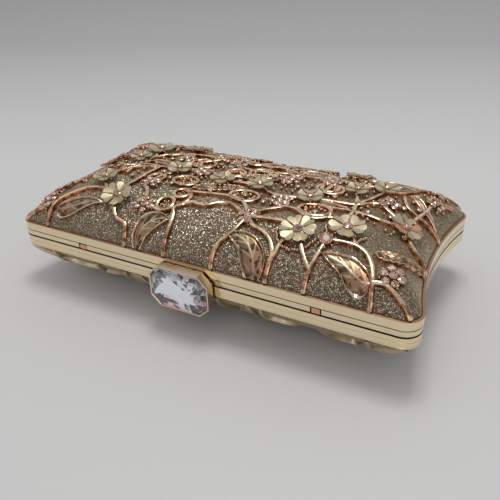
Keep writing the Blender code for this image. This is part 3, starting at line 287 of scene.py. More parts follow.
class ClutchSizes(bpy.types.PropertyGroup):
    """Sizes of the castings, stones and grains"""
    vine_width: FloatProperty(name="Vine width", description="Width of the cast vines", default=0.0021,
                              min=0.0005, unit="LENGTH")
    vine_height: FloatProperty(name="Vine height", description="Height of the vines over the cloth",
                               default=0.0021, min=0.0005, unit="LENGTH")
    foot_height: FloatProperty(name="Foot height", description="Height of a vine where it meets the frame",
                               default=0.0013, min=0.0003, unit="LENGTH")
    leaf_height: FloatProperty(name="Leaf height", description="Height of a leaf's raised edge",
                               default=0.0021, min=0.0005, unit="LENGTH")
    petal_thickness: FloatProperty(name="Petal thickness", description="Thickness of the blossom petals",
                                   default=0.0005, min=0.0002, unit="LENGTH")
    stone_radius: FloatProperty(name="Stone radius", description="Radius of the small cut stones",
                                default=0.00145, min=0.0005, unit="LENGTH")
    bead_radius: FloatProperty(name="Bead radius", description="Radius of the beads round the settings",
                               default=0.00055, min=0.0002, unit="LENGTH")
    glitter_grain: FloatProperty(name="Glitter grain", description="Size of one glitter flake",
                                 default=0.00029, min=0.0001, unit="LENGTH")
    weave_pitch: FloatProperty(name="Weave pitch", description="Distance between the lining's threads",
                               default=0.00035, min=0.0001, unit="LENGTH")
    seed: IntProperty(name="Seed", description="Picks one arrangement of stones and facet tones", default=7)


class ClutchColours(bpy.types.PropertyGroup):
    """Colours of the finishes"""
    champagne: FloatVectorProperty(name="Champagne gold", description="Plating of the frame",
                                   subtype="COLOR", default=(0.93, 0.80, 0.56), size=3, min=0, max=1)
    pale_gold: FloatVectorProperty(name="Pale gold", description="Petals and the castings of the underside",
                                   subtype="COLOR", default=(0.61, 0.52, 0.36), size=3, min=0, max=1)
    # Warm gold on the castings' up-facing faces and rose gold on their steep faces are a painted reflection;
    # rose gold is also the real colour of the guide tabs and stamens
    warm_gold: FloatVectorProperty(name="Warm gold", description="Tops of the castings of the lid",
                                   subtype="COLOR", default=(0.90, 0.71, 0.49), size=3, min=0, max=1)
    rose: FloatVectorProperty(name="Rose gold", description="Sides of the castings", subtype="COLOR",
                              default=(0.78, 0.42, 0.27), size=3, min=0, max=1)
    glitter_dark: FloatVectorProperty(name="Dark flakes", description="Darkest glitter flakes",
                                      subtype="COLOR", default=(0.030, 0.018, 0.010), size=3, min=0, max=1)
    glitter_mid: FloatVectorProperty(name="Middle flakes", description="Most of the glitter flakes",
                                     subtype="COLOR", default=(0.152, 0.096, 0.048), size=3, min=0, max=1)
    glitter_light: FloatVectorProperty(name="Bright flakes", description="Brightest glitter flakes",
                                       subtype="COLOR", default=(0.96, 0.88, 0.77), size=3, min=0, max=1)
    satin: FloatVectorProperty(name="Lining satin", description="Colour of the lining", subtype="COLOR",
                               default=(0.30, 0.25, 0.19), size=3, min=0, max=1)
    stone: FloatVectorProperty(name="Small stones", description="Tint of the small cut stones",
                               subtype="COLOR", default=(0.90, 0.67, 0.58), size=3, min=0, max=1)
    steel: FloatVectorProperty(name="Pin steel", description="Colour of the pins", subtype="COLOR",
                               default=(0.60, 0.58, 0.55), size=3, min=0, max=1)
    floor: FloatVectorProperty(name="Floor", description="Colour of the table", subtype="COLOR",
                               default=(0.69, 0.69, 0.69), size=3, min=0, max=1)


class ClutchStage(bpy.types.PropertyGroup):
    """Place of the camera and strength of the lights"""
    camera_place: FloatVectorProperty(name="Camera place", description="Where the camera stands",
                                      subtype="TRANSLATION", unit="LENGTH", size=3,
                                      default=(0.12858, -0.23428, 0.17298))
    camera_turn: FloatProperty(name="Camera turn", description="Turn of the view to the left", default=0.489,
                               subtype="ANGLE")
    camera_tilt: FloatProperty(name="Camera tilt", description="Tilt of the view downwards", default=0.5393,
                               subtype="ANGLE")
    camera_roll: FloatProperty(name="Camera roll", description="Roll of the view", default=-0.0274,
                               subtype="ANGLE")
    lens: FloatProperty(name="Lens", description="Focal length in millimetres on a 36 mm sensor",
                        default=41.66, min=10)
    key_power: FloatProperty(name="Key light", description="Power of the lamp above and behind", default=4.9,
                             subtype="POWER")
    fill_power: FloatProperty(name="Fill light", description="Power of the lamp on the clasp's side",
                              default=0.9, subtype="POWER")
    sky: FloatProperty(name="Sky", description="Strength of the soft light all round", default=1.07, min=0)


class Wire:
    """A value in a shader; arithmetic on it adds Math nodes."""

    def __init__(self, tree, socket):
        self.tree = tree
        self.socket = socket

    def maths(self, operation, *values):
        node = self.tree.nodes.new("ShaderNodeMath")
        node.operation = operation
        for socket, value in zip(node.inputs, values):
            if isinstance(value, Wire):
                self.tree.links.new(value.socket, socket)
            else:
                socket.default_value = value
        return Wire(self.tree, node.outputs[0])

    def __add__(self, other):
        return self.maths("ADD", self, other)

    def __radd__(self, other):
        return self.maths("ADD", other, self)

    def __sub__(self, other):
        return self.maths("SUBTRACT", self, other)

    def __rsub__(self, other):
        return self.maths("SUBTRACT", other, self)

    def __mul__(self, other):
        return self.maths("MULTIPLY", self, other)

    def __rmul__(self, other):
        return self.maths("MULTIPLY", other, self)

    def __gt__(self, other):
        return self.maths("GREATER_THAN", self, other)

    def __lt__(self, other):
        return self.maths("LESS_THAN", self, other)

    def sine(self):
        return self.maths("SINE", self)


class Finish:
    """One material, built up node by node on its Principled shader."""

    def __init__(self, name, tree=None):
        self.material = None
        if tree is None:
            self.material = bpy.data.materials.new(name)
            self.material.use_nodes = True
            tree = self.material.node_tree
        self.tree = tree
        self.shader = tree.nodes.get("Principled BSDF")

    def node(self, kind, settings, output, values):
        """Add a node, give it its settings first and then its sockets, and return one output."""
        node = self.tree.nodes.new(kind)
        for name, value in settings.items():
            if name == "stops":
                ramp = node.color_ramp
                while len(ramp.elements) < len(value):
                    ramp.elements.new(0.5)
                for element, (place, colour) in zip(ramp.elements, value):
                    element.position = place
                    element.color = (*colour, 1.0)
            else:
                setattr(node, name, value)
        for name, value in values.items():
            self.plug(node.inputs[name], value)
        return Wire(self.tree, node.outputs[output])

    def plug(self, socket, value):
        if isinstance(value, Wire):
            self.tree.links.new(value.socket, socket)
        elif isinstance(socket.default_value, (int, float)):
            socket.default_value = value
        elif len(socket.default_value) > len(value):
            socket.default_value = (*value, 1.0)
        else:
            socket.default_value = value

    def set(self, **values):
        for name, value in values.items():
            self.plug(self.shader.inputs[name.replace("_", " ").title().replace("Ior", "IOR")], value)
        return self.material

    def place(self, kind="Object"):
        return self.node("ShaderNodeTexCoord", {}, kind, {})

    def noise(self, place, size, detail=2.0):
        values = {"Vector": place, "Scale": 1 / size, "Detail": detail}
        return self.node("ShaderNodeTexNoise", {}, "Fac", values)

    def cells(self, place, size):
        return self.node("ShaderNodeTexVoronoi", {}, "Color", {"Vector": place, "Scale": 1 / size})

    def mix(self, factor, first, second):
        return self.node("ShaderNodeMix", {"data_type": "RGBA"}, 2, {0: factor, 6: first, 7: second})

    def ramp(self, factor, stops, interpolation="LINEAR"):
        colour = self.node("ShaderNodeValToRGB", {"stops": stops}, "Color", {"Fac": factor})
        colour.socket.node.color_ramp.interpolation = interpolation
        return colour

    def vector(self, operation, first, second=None):
        values = {0: first} if second is None else {0: first, 1: second}
        return self.node("ShaderNodeVectorMath", {"operation": operation}, 0, values)

    def painted(self, name, output):
        """What the mesh has painted on it under a name."""
        return self.node("ShaderNodeAttribute", {"attribute_name": name}, output, {})

    def part(self, vector, index):
        return self.node("ShaderNodeSeparateXYZ", {}, index, {0: vector})

    def bump(self, height, strength, distance):
        return self.node("ShaderNodeBump", {}, "Normal",
                         {"Height": height, "Strength": strength, "Distance": distance})


def shaded(colour, factor):
    """A colour times one factor, or times one factor per channel."""
    factors = factor if isinstance(factor, tuple) else (factor, factor, factor)
    return tuple(channel * share for channel, share in zip(colour, factors))


def gold_finish(name, colour, roughness):
    """Polished plating with faint haze and hair scratches."""
    finish = Finish(name)
    place = finish.place()
    haze = finish.noise(place, 0.012, 3.0)
    drawn = finish.node("ShaderNodeMapping", {}, "Vector", {"Vector": place, "Scale": (30.0, 900.0, 2500.0)})
    hair = finish.noise(drawn, 1.0)
    return finish.set(base_color=finish.mix(haze, colour, shaded(colour, (0.96, 0.90, 0.82))), metallic=1.0,
                      roughness=haze * 0.10 + (roughness - 0.04),
                      normal=finish.bump(hair, 0.03, 0.00005))


def casting_finish(name, colours, foot):
    """Casting: warm gold where it faces up and at its feet, rose gold where it is steep; the up and steep
    colours are a painted reflection, broken into lighter and darker painted reflection patches. The paint of
    the leaves gives painted copper reflections at their base, painted shade in their hollows, khaki blades
    darkened by a painted reflection and painted highlights on veins and rims."""
    finish = Finish(name)
    place = finish.place()
    up = finish.part(finish.place("Normal"), 2)
    # Painted reflection: up-facing faces get the warm top colour, steep faces the rose side colour
    flat = finish.ramp(up * up, ((0.40, BLACK), (0.74, WHITE)), "EASE")
    near_foot = finish.ramp((finish.part(place, 2) - foot) * 240, ((0.58, WHITE), (0.70, BLACK)))
    flat = finish.mix(near_foot, flat, WHITE)
    paint = finish.painted("paint", "Vector")
    vein = finish.painted("vein", "Fac")
    cloud = finish.noise(place, 0.006)
    # Painted reflection patches: lighter and darker blotches on tops, sides, blades and the copper part
    reflection_patches = finish.ramp(finish.noise(place, 0.0032, 1.0), ((0.43, BLACK), (0.53, WHITE)), "EASE")
    warm, rose = tuple(colours.warm_gold), tuple(colours.rose)
    top = finish.mix(reflection_patches, shaded(warm, (0.70, 0.64, 0.58)), warm)
    side = finish.mix(reflection_patches, shaded(rose, (0.42, 0.36, 0.34)), rose)
    blade = finish.mix(reflection_patches, (0.10, 0.062, 0.032), (0.33, 0.24, 0.13))
    copper_reflection = finish.mix(reflection_patches, shaded(rose, 0.16), shaded(rose, 0.62))
    metal = finish.mix(flat, side, top)
    # Leaf paint: darker blade colour for a painted dark reflection, painted copper reflection at the base,
    # painted shade in hollows, painted highlight on veins and rims
    metal = finish.mix(finish.part(paint, 2), metal, blade)
    metal = finish.mix(finish.part(paint, 0), metal, copper_reflection)
    metal = finish.mix(finish.part(paint, 1), metal, (0.13, 0.075, 0.045))
    metal = finish.mix(vein, metal, (1.0, 0.87, 0.68))
    grain = finish.noise(place, 0.0009)
    return finish.set(base_color=metal, metallic=1.0,
                      roughness=finish.part(paint, 2) * 0.18 + (cloud * 0.14 + 0.07),
                      normal=finish.bump(grain, 0.14, 0.0002))


def petal_finish(name, colours):
    """Petals: satin pale gold with fine lines that run out from the middle."""
    finish = Finish(name)
    place = finish.place()
    cloud = finish.noise(place, 0.004)
    lines = finish.noise(place, 0.0005, 3.0)
    colour = finish.mix(cloud, tuple(colours.pale_gold), shaded(colours.pale_gold, (0.92, 0.93, 0.90)))
    return finish.set(base_color=colour, metallic=1.0, roughness=cloud * 0.14 + 0.37,
                      normal=finish.bump(lines, 0.18, 0.0001))


def glitter_finish(name, sizes, colours):
    """Glitter cloth: every flake has its own tone and its own tilt."""
    finish = Finish(name)
    place = finish.place()
    tilt = finish.cells(place, sizes.glitter_grain)
    chance = finish.part(tilt, 0)
    flake = finish.ramp(chance, ((0.0, colours.glitter_dark), (0.40, colours.glitter_mid),
                                 (0.84, shaded(colours.glitter_mid, 1.7)),
                                 (0.91, colours.glitter_light), (1.0, colours.glitter_light)))
    shade = finish.noise(place, 0.010)
    colour = finish.mix(shade * 0.35, flake, colours.glitter_dark)
    normal = finish.node("ShaderNodeNewGeometry", {}, "Normal", {})
    lean = finish.vector("MULTIPLY", finish.vector("SUBTRACT", tilt, (0.5, 0.5, 0.5)), (0.75, 0.75, 0.75))
    leaning = finish.vector("NORMALIZE", finish.vector("ADD", normal, lean))
    spark = chance > 0.84
    return finish.set(base_color=colour, metallic=spark * 0.35 + 0.25, roughness=0.52 - spark * 0.25,
                      normal=leaning, specular_ior_level=0.3, sheen_weight=0.5, sheen_roughness=0.5,
                      sheen_tint=(0.92, 0.82, 0.52))


def satin_finish(name, sizes, colours):
    """Satin lining with crossed threads and a soft sheen."""
    finish = Finish(name)
    place = finish.place()
    along = finish.part(place, 0) * (math.tau / sizes.weave_pitch)
    across = finish.part(place, 1) * (math.tau / sizes.weave_pitch)
    weave = along.sine() * across.sine()
    cloud = finish.noise(place, 0.02)
    colour = finish.mix(cloud, tuple(colours.satin), shaded(colours.satin, 0.72))
    return finish.set(base_color=colour, roughness=cloud * 0.15 + 0.42, sheen_weight=0.4,
                      normal=finish.bump(weave, 0.25, 0.0001))


def steel_finish(name, colours):
    """Ground steel wire."""
    finish = Finish(name)
    grain = finish.noise(finish.place(), 0.0006, 3.0)
    colour = finish.mix(grain, tuple(colours.steel), shaded(colours.steel, 0.8))
    return finish.set(base_color=colour, metallic=1.0, roughness=grain * 0.2 + 0.2)


def stone_finish(name, colours):
    """Small cut stones: foil-backed, so they stay bright, with a random painted reflection tone for each
    facet.
    """
    finish = Finish(name)
    tone = finish.painted("tone", "Fac")
    colour = finish.ramp(tone, ((0.0, shaded(colours.stone, 0.16)), (0.35, shaded(colours.stone, 0.55)),
                                (0.7, tuple(colours.stone)), (1.0, (1.0, 0.90, 0.85))))
    return finish.set(base_color=colour, metallic=0.75, roughness=0.06, coat_weight=0.5, coat_roughness=0.02)


def foil_finish(name):
    """Foil behind the large stone, with a painted reflection tone for each facet; a faint glow stands for
    its inner reflections.
    """
    finish = Finish(name)
    tone = finish.painted("tone", "Color")
    return finish.set(base_color=tone, metallic=0.30, roughness=0.16, emission_color=tone,
                      emission_strength=0.25)


def crystal_finish(name):
    """Clear glass of the large stone."""
    finish = Finish(name)
    cloud = finish.noise(finish.place(), 0.01, 1.0)
    return finish.set(base_color=finish.mix(cloud, (0.98, 0.98, 1.0), (0.95, 0.95, 0.97)), roughness=0.0,
                      transmission_weight=1.0, ior=1.52)


def floor_finish(name, colours):
    """Pale table with painted light falloff: a little darker away from the clutch, towards the back and the
    left.
    """
    finish = Finish(name)
    place = finish.place()
    far = finish.part(place, 1) * 0.9 - finish.part(place, 0) * 0.35
    mottle = finish.noise(place, 0.25)
    stops = ((0.16, tuple(colours.floor)), (0.60, shaded(colours.floor, 0.69)))
    return finish.set(base_color=finish.ramp(far + mottle * 0.05, stops), roughness=0.55)


# Plan of the frame and skin of the domes

def corner(inset, radius):
    """Middle of a corner's rounding at an inset, and the angle at which it runs into the end."""
    y = HALF_DEPTH - inset - radius
    x = END_MIDDLE - math.sqrt((END_RADIUS + inset + radius) ** 2 - y ** 2)
    return x, y, math.atan2(y, END_MIDDLE - x)


def outline(inset, radius):
    """Plan outline at an inset from the frame's outer face, as (x, y), counter-clockwise."""
    end_radius = END_RADIUS + inset
    fillet_x, fillet_y, turn = corner(inset, radius)
    half = [(fillet_x * (2 * step / EDGE_STEPS - 1), inset - HALF_DEPTH) for step in range(EDGE_STEPS)]
    for step in range(CORNER_STEPS + 1):
        angle = -math.pi / 2 + (turn + math.pi / 2) * step / CORNER_STEPS
        half.append((fillet_x + radius * math.cos(angle), -fillet_y + radius * math.sin(angle)))
    for step in range(1, END_STEPS):
        angle = turn * (1 - 2 * step / END_STEPS)
        half.append((END_MIDDLE - end_radius * math.cos(angle), -end_radius * math.sin(angle)))
    for step in range(CORNER_STEPS):
        angle = -turn + (turn + math.pi / 2) * step / CORNER_STEPS
        half.append((fillet_x + radius * math.cos(angle), fillet_y + radius * math.sin(angle)))
    return half + [(-x, -y) for x, y in half]


def dome_rise(share, rise):
    """Height of a dome over its foot at a share of its run."""
    return rise * (1 - (1 - share) ** SHELL_POWER) ** (1 / SHELL_POWER)


def dome_radius(share, inset):
    return CORNER_RADIUS - inset + CORNER_GROWTH * SHELL_RUN * share


def dome_ring(share, inset, rise, foot):
    """Level outline of a dome at a share of its run."""
    height = foot + dome_rise(share, rise)
    return [(x, y, height) for x, y in outline(inset + SHELL_RUN * share, dome_radius(share, inset))]


def dome_wall(inset, rise, wall, shares, rim):
    """A dome with an open foot: outer rings from the top down, then inner rings back up."""
    outer = [dome_ring(share, inset, rise, rim) for share in reversed(shares)]
    inner = [dome_ring(share, inset + wall, rise - wall, rim) for share in INNER_DOME_SHARES]
    outer.append([(x, y, SHELL_FOOT) for x, y, _ in outer[-1]])
    inner.insert(0, [(x, y, SHELL_FOOT) for x, y, _ in inner[0]])
    work = bmesh.new()
    loft(work, outer + inner)
    return work


def inside(x, y, share):
    """Whether a plan point lies inside the shell's contour at a share of its run."""
    x, y = abs(x), abs(y)
    inset = SHELL_INSET + SHELL_RUN * share
    radius = dome_radius(share, SHELL_INSET)
    fillet_x, fillet_y, turn = corner(inset, radius)
    angle = math.atan2(y - fillet_y, x - fillet_x)
    if angle > math.pi / 2 or (x < fillet_x and y > fillet_y):
        return y <= HALF_DEPTH - inset
    if angle < -turn:
        return math.hypot(x - END_MIDDLE, y) >= END_RADIUS + inset
    return math.hypot(x - fillet_x, y - fillet_y) <= radius


def run_share(x, y):
    """How far up the dome a plan point lies, from 0 at its foot to 1 on its top."""
    ahead = HALF_DEPTH - SHELL_INSET - abs(y)
    aside = math.hypot(END_MIDDLE - abs(x), y) - END_RADIUS - SHELL_INSET
    high = min(ahead / SHELL_RUN, aside / SHELL_RUN, 1.0)
    if high <= 0.0:
        return 0.0
    if inside(x, y, high - 1e-6):
        return high
    low = 0.0
    for _ in range(18):
        middle = (low + high) / 2
        if inside(x, y, middle):
            low = middle
        else:
            high = middle
    return low


def skin(x, y, rim):
    """Point and outward normal of the shell at a plan point, in the seam's frame."""
    step = 0.00015
    height = rim + dome_rise(max(run_share(x, y), 0.001), SHELL_RISE)
    slope_x = dome_rise(run_share(x + step, y), SHELL_RISE) - dome_rise(run_share(x - step, y), SHELL_RISE)
    slope_y = dome_rise(run_share(x, y + step), SHELL_RISE) - dome_rise(run_share(x, y - step), SHELL_RISE)
    return Vector((x, y, height)), Vector((-slope_x, -slope_y, 2 * step)).normalized()


def on_shell(x, y):
    """Plan point, drawn in to the shell's foot where it falls outside."""
    y = max(-SHELL_EDGE, min(SHELL_EDGE, y))
    if inside(x, y, 0.002):
        return x, y
    low, high = 0.85, 1.0
    for _ in range(14):
        middle = (low + high) / 2
        if inside(x * middle, y * middle, 0.002):
            low = middle
        else:
            high = middle
    return x * low, y * low


def plan_curve(points, turned, spacing):
    """Smooth plan curve through points in millimetres, at an even spacing."""
    sign = -MILLIMETRE if turned else MILLIMETRE
    knots = [Vector(point) * sign for point in points]
    knots = [2 * knots[0] - knots[1], *knots, 2 * knots[-1] - knots[-2]]
    dense = []
    for index in range(1, len(knots) - 2):
        before, start, end, after = knots[index - 1:index + 3]
        for step in range(12):
            t = step / 12
            bend = (2 * before - 5 * start + 4 * end - after) * t ** 2
            twist = (3 * start - before - 3 * end + after) * t ** 3
            dense.append((2 * start + (end - before) * t + bend + twist) / 2)
    dense.append(knots[-2])
    return evenly(dense, spacing)


def evenly(points, spacing):
    """The same curve in even steps of about a spacing."""
    length = sum((second - first).length for first, second in zip(points, points[1:]))
    return resample(points, max(3, round(length / spacing)))


def resample(points, count):
    """The same curve as count even steps."""
    run = [0.0]
    for first, second in zip(points, points[1:]):
        run.append(run[-1] + (second - first).length)
    placed = []
    index = 0
    for step in range(count + 1):
        goal = run[-1] * step / count
        while index < len(run) - 2 and run[index + 1] < goal:
            index += 1
        span = max(run[index + 1] - run[index], 1e-9)
        placed.append(points[index].lerp(points[index + 1], (goal - run[index]) / span))
    return placed


def tangent_basis(x, y, rim, turn=0.0):
    """Matrix on the shell at a plan point, with Z along the shell's normal."""
    point, normal = skin(x, y, rim)
    across = Vector((0, 1, 0)).cross(normal).normalized()
    basis = Matrix((across, normal.cross(across), normal)).transposed().to_4x4()
    return Matrix.Translation(point) @ basis @ Matrix.Rotation(turn, 4, "Z")


# Mesh helpers

def circle(basis, reach, height, sides, turn=0.0):
    """Points of a circle on a basis; turn is a share of one step round it."""
    angles = [math.tau * (side + turn) / sides for side in range(sides)]
    return [basis @ Vector((reach * math.cos(angle), reach * math.sin(angle), height)) for angle in angles]


def loft(work, rings, closed_row=False, material_index=0):
    """Skin a row of point loops of equal length; its ends are filled, or it closes on itself."""
    loops = [[work.verts.new(point) for point in ring] for ring in rings]
    pairs = list(zip(loops, loops[1:]))
    if closed_row:
        pairs.append((loops[-1], loops[0]))
    made = []
    for lower, upper in pairs:
        for index in range(len(lower)):
            after = (index + 1) % len(lower)
            made.append(work.faces.new((lower[index], lower[after], upper[after], upper[index])))
    if not closed_row:
        made.append(work.faces.new(reversed(loops[0])))
        made.append(work.faces.new(loops[-1]))
    for face in made:
        face.material_index = material_index
    return made


def slab(work, top, bottom, paint=None, material_index=0):
    """Close two grids of points, rows of equal length, into one body. Paint is four shares per point:
    painted copper reflection, painted shade, blade and painted highlight.
    """
    rows, columns = len(top) - 1, len(top[0]) - 1
    high = [[work.verts.new(point) for point in row] for row in top]
    if paint is not None:
        layer, veins = work.verts.layers.float_vector["paint"], work.verts.layers.float["vein"]
        for verts, shares in zip(high, paint):
            for vert, share in zip(verts, shares):
                vert[layer], vert[veins] = share[:3], share[3]
    low = [[work.verts.new(point) for point in row] for row in bottom]
    quads = []
    for row in range(rows):
        for column in range(columns):
            quads.append((high[row][column], high[row][column + 1], high[row + 1][column + 1],
                          high[row + 1][column]))
            quads.append((low[row][column], low[row + 1][column], low[row + 1][column + 1],
                          low[row][column + 1]))
    rim = [(0, column) for column in range(columns)] + [(row, columns) for row in range(rows)]
    rim += [(rows, column) for column in range(columns, 0, -1)] + [(row, 0) for row in range(rows, 0, -1)]
    for (row, column), (next_row, next_column) in zip(rim, rim[1:] + rim[:1]):
        quads.append((low[row][column], low[next_row][next_column], high[next_row][next_column],
                      high[row][column]))
    for quad in quads:
        work.faces.new(quad).material_index = material_index


def bead(work, centre, radius, material_index=0):
    """A small ball."""
    rings = []
    for polar in BEAD_RINGS:
        reach, drop = math.sin(polar), -math.cos(polar)
        rings.append([centre + radius * Vector((reach * math.cos(angle), reach * math.sin(angle), drop))
                      for angle in BEAD_ANGLES])
    loft(work, rings, material_index=material_index)


def bead_on(work, x, y, rim, lift, radius):
    """A bead over the shell at a plan point."""
    point, normal = skin(x, y, rim)
    bead(work, point + normal * lift, radius)


def under_top(*meshes):
    """Keep every point just under the top of the CAD box."""
    top = CAD_BOX[1][2] - SEAM_HEIGHT - 0.00002
    for work in meshes:
        for vert in work.verts:
            vert.co.z = min(vert.co.z, top)


def mesh_from(work, name):
    """Turn a bmesh into a mesh and let it go."""
    mesh = bpy.data.meshes.new(name)
    work.to_mesh(mesh)
    work.free()
    return mesh


def add_object(name, data):
    """A new object in the scene."""
    item = bpy.data.objects.new(name, data)
    bpy.context.scene.collection.objects.link(item)
    return item


def settle(name, work, materials, body, replaced, angle, matrix=None):
    """Turn a bmesh into a piece that rides on a body and stands for its CAD nodes."""
    if matrix is not None:
        bmesh.ops.transform(work, matrix=matrix, verts=work.verts)
    bmesh.ops.recalc_face_normals(work, faces=work.faces)
    mesh = mesh_from(work, name)
    for material in materials:
        mesh.materials.append(material)
    mesh.shade_smooth()
    mesh.set_sharp_from_angle(angle=math.radians(angle))
    item = add_object(name, mesh)
    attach(item, body)
    if replaced:
        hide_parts(*replaced)
    return item


def dress(node, material):
    """Give a CAD node that keeps its shape a finished material."""
    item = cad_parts[node]
    item.data.materials.clear()
    item.data.materials.append(material)


def finishes():
    """The materials by name."""
    return {item.name: item for item in bpy.data.materials}


def halves():
    """Each half as name, body, rim height and the matrix from the seam's frame."""
    upper = Matrix.Translation((0, 0, SEAM_HEIGHT))
    lower = upper @ Matrix.Rotation(math.pi, 4, "Y")
    return ("upper", "lid", UPPER_RIM, upper), ("lower", "base", LOWER_RIM, lower)


# Castings, stones and blossoms

def add_vine(work, points, turned, rim, sizes):
    """One vine, lower where it comes down to the frame and a little wider at its foot."""
    plan = [on_shell(*point) for point in plan_curve(points, turned, VINE_STEP)]
    kept = [plan[0]]
    for point in plan[1:]:
        if math.dist(point, kept[-1]) > CLOSEST_STEP:
            kept.append(point)
    frames = [skin(x, y, rim) for x, y in kept]
    rings = []
    for index, (point, normal) in enumerate(frames):
        before = frames[max(index - 1, 0)][0]
        after = frames[min(index + 1, len(frames) - 1)][0]
        side = (after - before).cross(normal).normalized()
        climb = min(1.0, (point.z - rim) / FOOT_CLIMB)
        height = sizes.foot_height + (sizes.vine_height - sizes.foot_height) * climb
        width = sizes.vine_width * (1.06 - 0.06 * climb)
        rings.append([point + side * across * width / 2 + normal * up * height
                      for across, up in VINE_SECTION])
    loft(work, rings)


def add_scroll(work, beads, place, turned, rim, sizes):
    """A small ribbon ring with a few beads inside it."""
    sign = -MILLIMETRE if turned else MILLIMETRE
    x, y = place
    points = []
    for step in range(SCROLL_STEPS + 1):
        angle = math.tau * (step + 0.2) / SCROLL_STEPS
        points.append((x + SCROLL_RADIUS * math.cos(angle), y + SCROLL_RADIUS * math.sin(angle)))
    add_vine(work, points, turned, rim, sizes)
    for step in range(5):
        angle = math.tau * step / 5 + x
        bead_on(beads, (x + SCROLL_BEADS * math.cos(angle)) * sign,
                (y + SCROLL_BEADS * math.sin(angle)) * sign,
                rim, RING_BEAD_LIFT, sizes.bead_radius * (1.4 + 0.5 * math.sin(5 * angle)))


def smooth_step(start, end, value):
    """Smooth share from 0 at the start to 1 at the end."""
    share = max(0.0, min(1.0, (value - start) / (end - start)))
    return share * share * (3 - 2 * share)


def leaf_form(across, along, strokes, width):
    """Height share of a leaf's face and its paint: painted copper reflection at the base, painted shade in
    the hollow inside the rim and on one half, the blade's share with its darker painted reflection, and
    painted highlights on the veins and the rolled rim.
    """
    from_edge = (1 - abs(across)) * width / 2 / MILLIMETRE
    from_middle = abs(across) * width / 2 / MILLIMETRE
    edge = math.exp(-((from_edge - 0.25) / 0.42) ** 2)
    hollow = math.exp(-((from_edge - 1.0) / 0.30) ** 2)
    midrib = math.exp(-(from_middle / 0.30) ** 2) * (1 - along ** 3)
    blade = smooth_step(0.75, 1.15, from_edge)
    if strokes:
        phase = (along * strokes - abs(across) * 0.9) % 1.0
        stroke = math.sin(math.pi * phase)
        height = 0.46 + 0.36 * stroke ** 2 * (1 - midrib) + 0.40 * edge
        # Feathered leaves: painted shade between the strokes, the blade's share, and a painted highlight on
        # the rolled rim
        return min(1.0, height), (0.0, 0.55 * (1 - stroke) * blade, 0.6 * blade, 0.4 * edge)
    phase = (along * 4.6 - abs(across) * 1.25) % 1.0
    vein = max(math.exp(-((phase - 0.5) / 0.065) ** 2) * (1 - abs(across) ** 4) * 0.8, midrib) * blade
    # Painted copper reflection towards the leaf's base
    base_reflection = smooth_step(0.52, 0.32, along + 0.05 * math.sin(along * 19 + across * 3))
    # Painted shade in the hollow inside the rolled rim and over one half of the blade
    shade = max(0.85 * hollow, 0.50 * smooth_step(0.1, -0.3, across) * blade * (1 - 0.6 * base_reflection))
    height = 0.52 + 0.12 * (1 - across * across) + 0.46 * edge - 0.14 * hollow + 0.06 * vein
    # The last share is a painted highlight on the veins and the rolled rim
    return min(1.0, height), (base_reflection * blade, shade, blade, max(vein * (1 - 0.5 * base_reflection) * 0.85, 0.55 * edge))


def add_leaf(work, first, second, strokes, turned, rim, sizes):
    """One cupped leaf between two edges, with a rolled rim, a midrib and side veins."""
    near, far = plan_curve(first, turned, LEAF_STEP), plan_curve(second, turned, LEAF_STEP)
    rows, columns, stride = max(len(near), len(far)), LEAF_COLUMNS, LEAF_STRIDE
    near, far = resample(near, rows), resample(far, rows)
    places = [2 * column / columns - 1 for column in range(columns + 1)]
    places = [(place + math.sin(math.pi / 2 * place)) / 2 for place in places]
    top, bottom, paint = [], [], []
    for row in range(rows + 1):
        along = row / rows
        width = (near[row] - far[row]).length
        sharp = 1 - 0.10 * abs(math.sin(math.pi * along * strokes)) if strokes else 1.0
        seats = [skin(*on_shell(*near[row].lerp(far[row], 0.5 + places[column] * sharp / 2)), rim)
                 for column in range(0, columns + 1, stride)]
        high, low, shares = [], [], []
        for column, across in enumerate(places):
            before = min(column // stride, len(seats) - 2)
            span = places[(before + 1) * stride] - places[before * stride]
            share = (across - places[before * stride]) / span
            base = seats[before][0].lerp(seats[before + 1][0], share)
            normal = seats[before][1].lerp(seats[before + 1][1], share)
            climb = min(1.0, 0.45 + (base.z - rim) / 0.010) * min(1.0, 0.35 + width / 0.004)
            height, colours = leaf_form(across, along, strokes, width)
            shares.append(colours)
            high.append(base + normal * sizes.leaf_height * climb * height)
            low.append(base - normal * 0.0002)
        top.append(high)
        bottom.append(low)
        paint.append(shares)
    slab(work, top, bottom, paint)


def add_loop(work, beads, place, rim, sizes):
    """An oval ribbon laid on the top, with a row of small beads inside it."""
    x, y, half_length, half_width = place
    points = []
    for step in range(LOOP_STEPS + 1):
        angle = math.tau * (step + 0.15) / LOOP_STEPS
        points.append((x + half_length * math.cos(angle), y + half_width * math.sin(angle)))
    add_vine(work, points, False, rim, sizes)
    for step in range(11):
        angle = math.tau * step / 14 + x
        reach = 0.62 + 0.08 * math.sin(5 * angle)
        bead_on(beads, (x + half_length * reach * math.cos(angle)) * MILLIMETRE,
                (y + half_width * reach * math.sin(angle)) * MILLIMETRE,
                rim, RING_BEAD_LIFT, sizes.bead_radius * (1.5 + 0.4 * math.sin(7 * angle)))


def add_stone(work, basis, radius, tones):
    """A small cut stone: point, girdle, crown and table, on the given basis."""
    rings = [circle(basis, radius * reach, radius * height, 8, turn)
             for reach, height, turn in STONE_PROFILE]
    # Each facet gets a random tone, a painted reflection
    tone = work.faces.layers.float.get("tone") or work.faces.layers.float.new("tone")
    for face in loft(work, rings):
        face[tone] = tones.random()


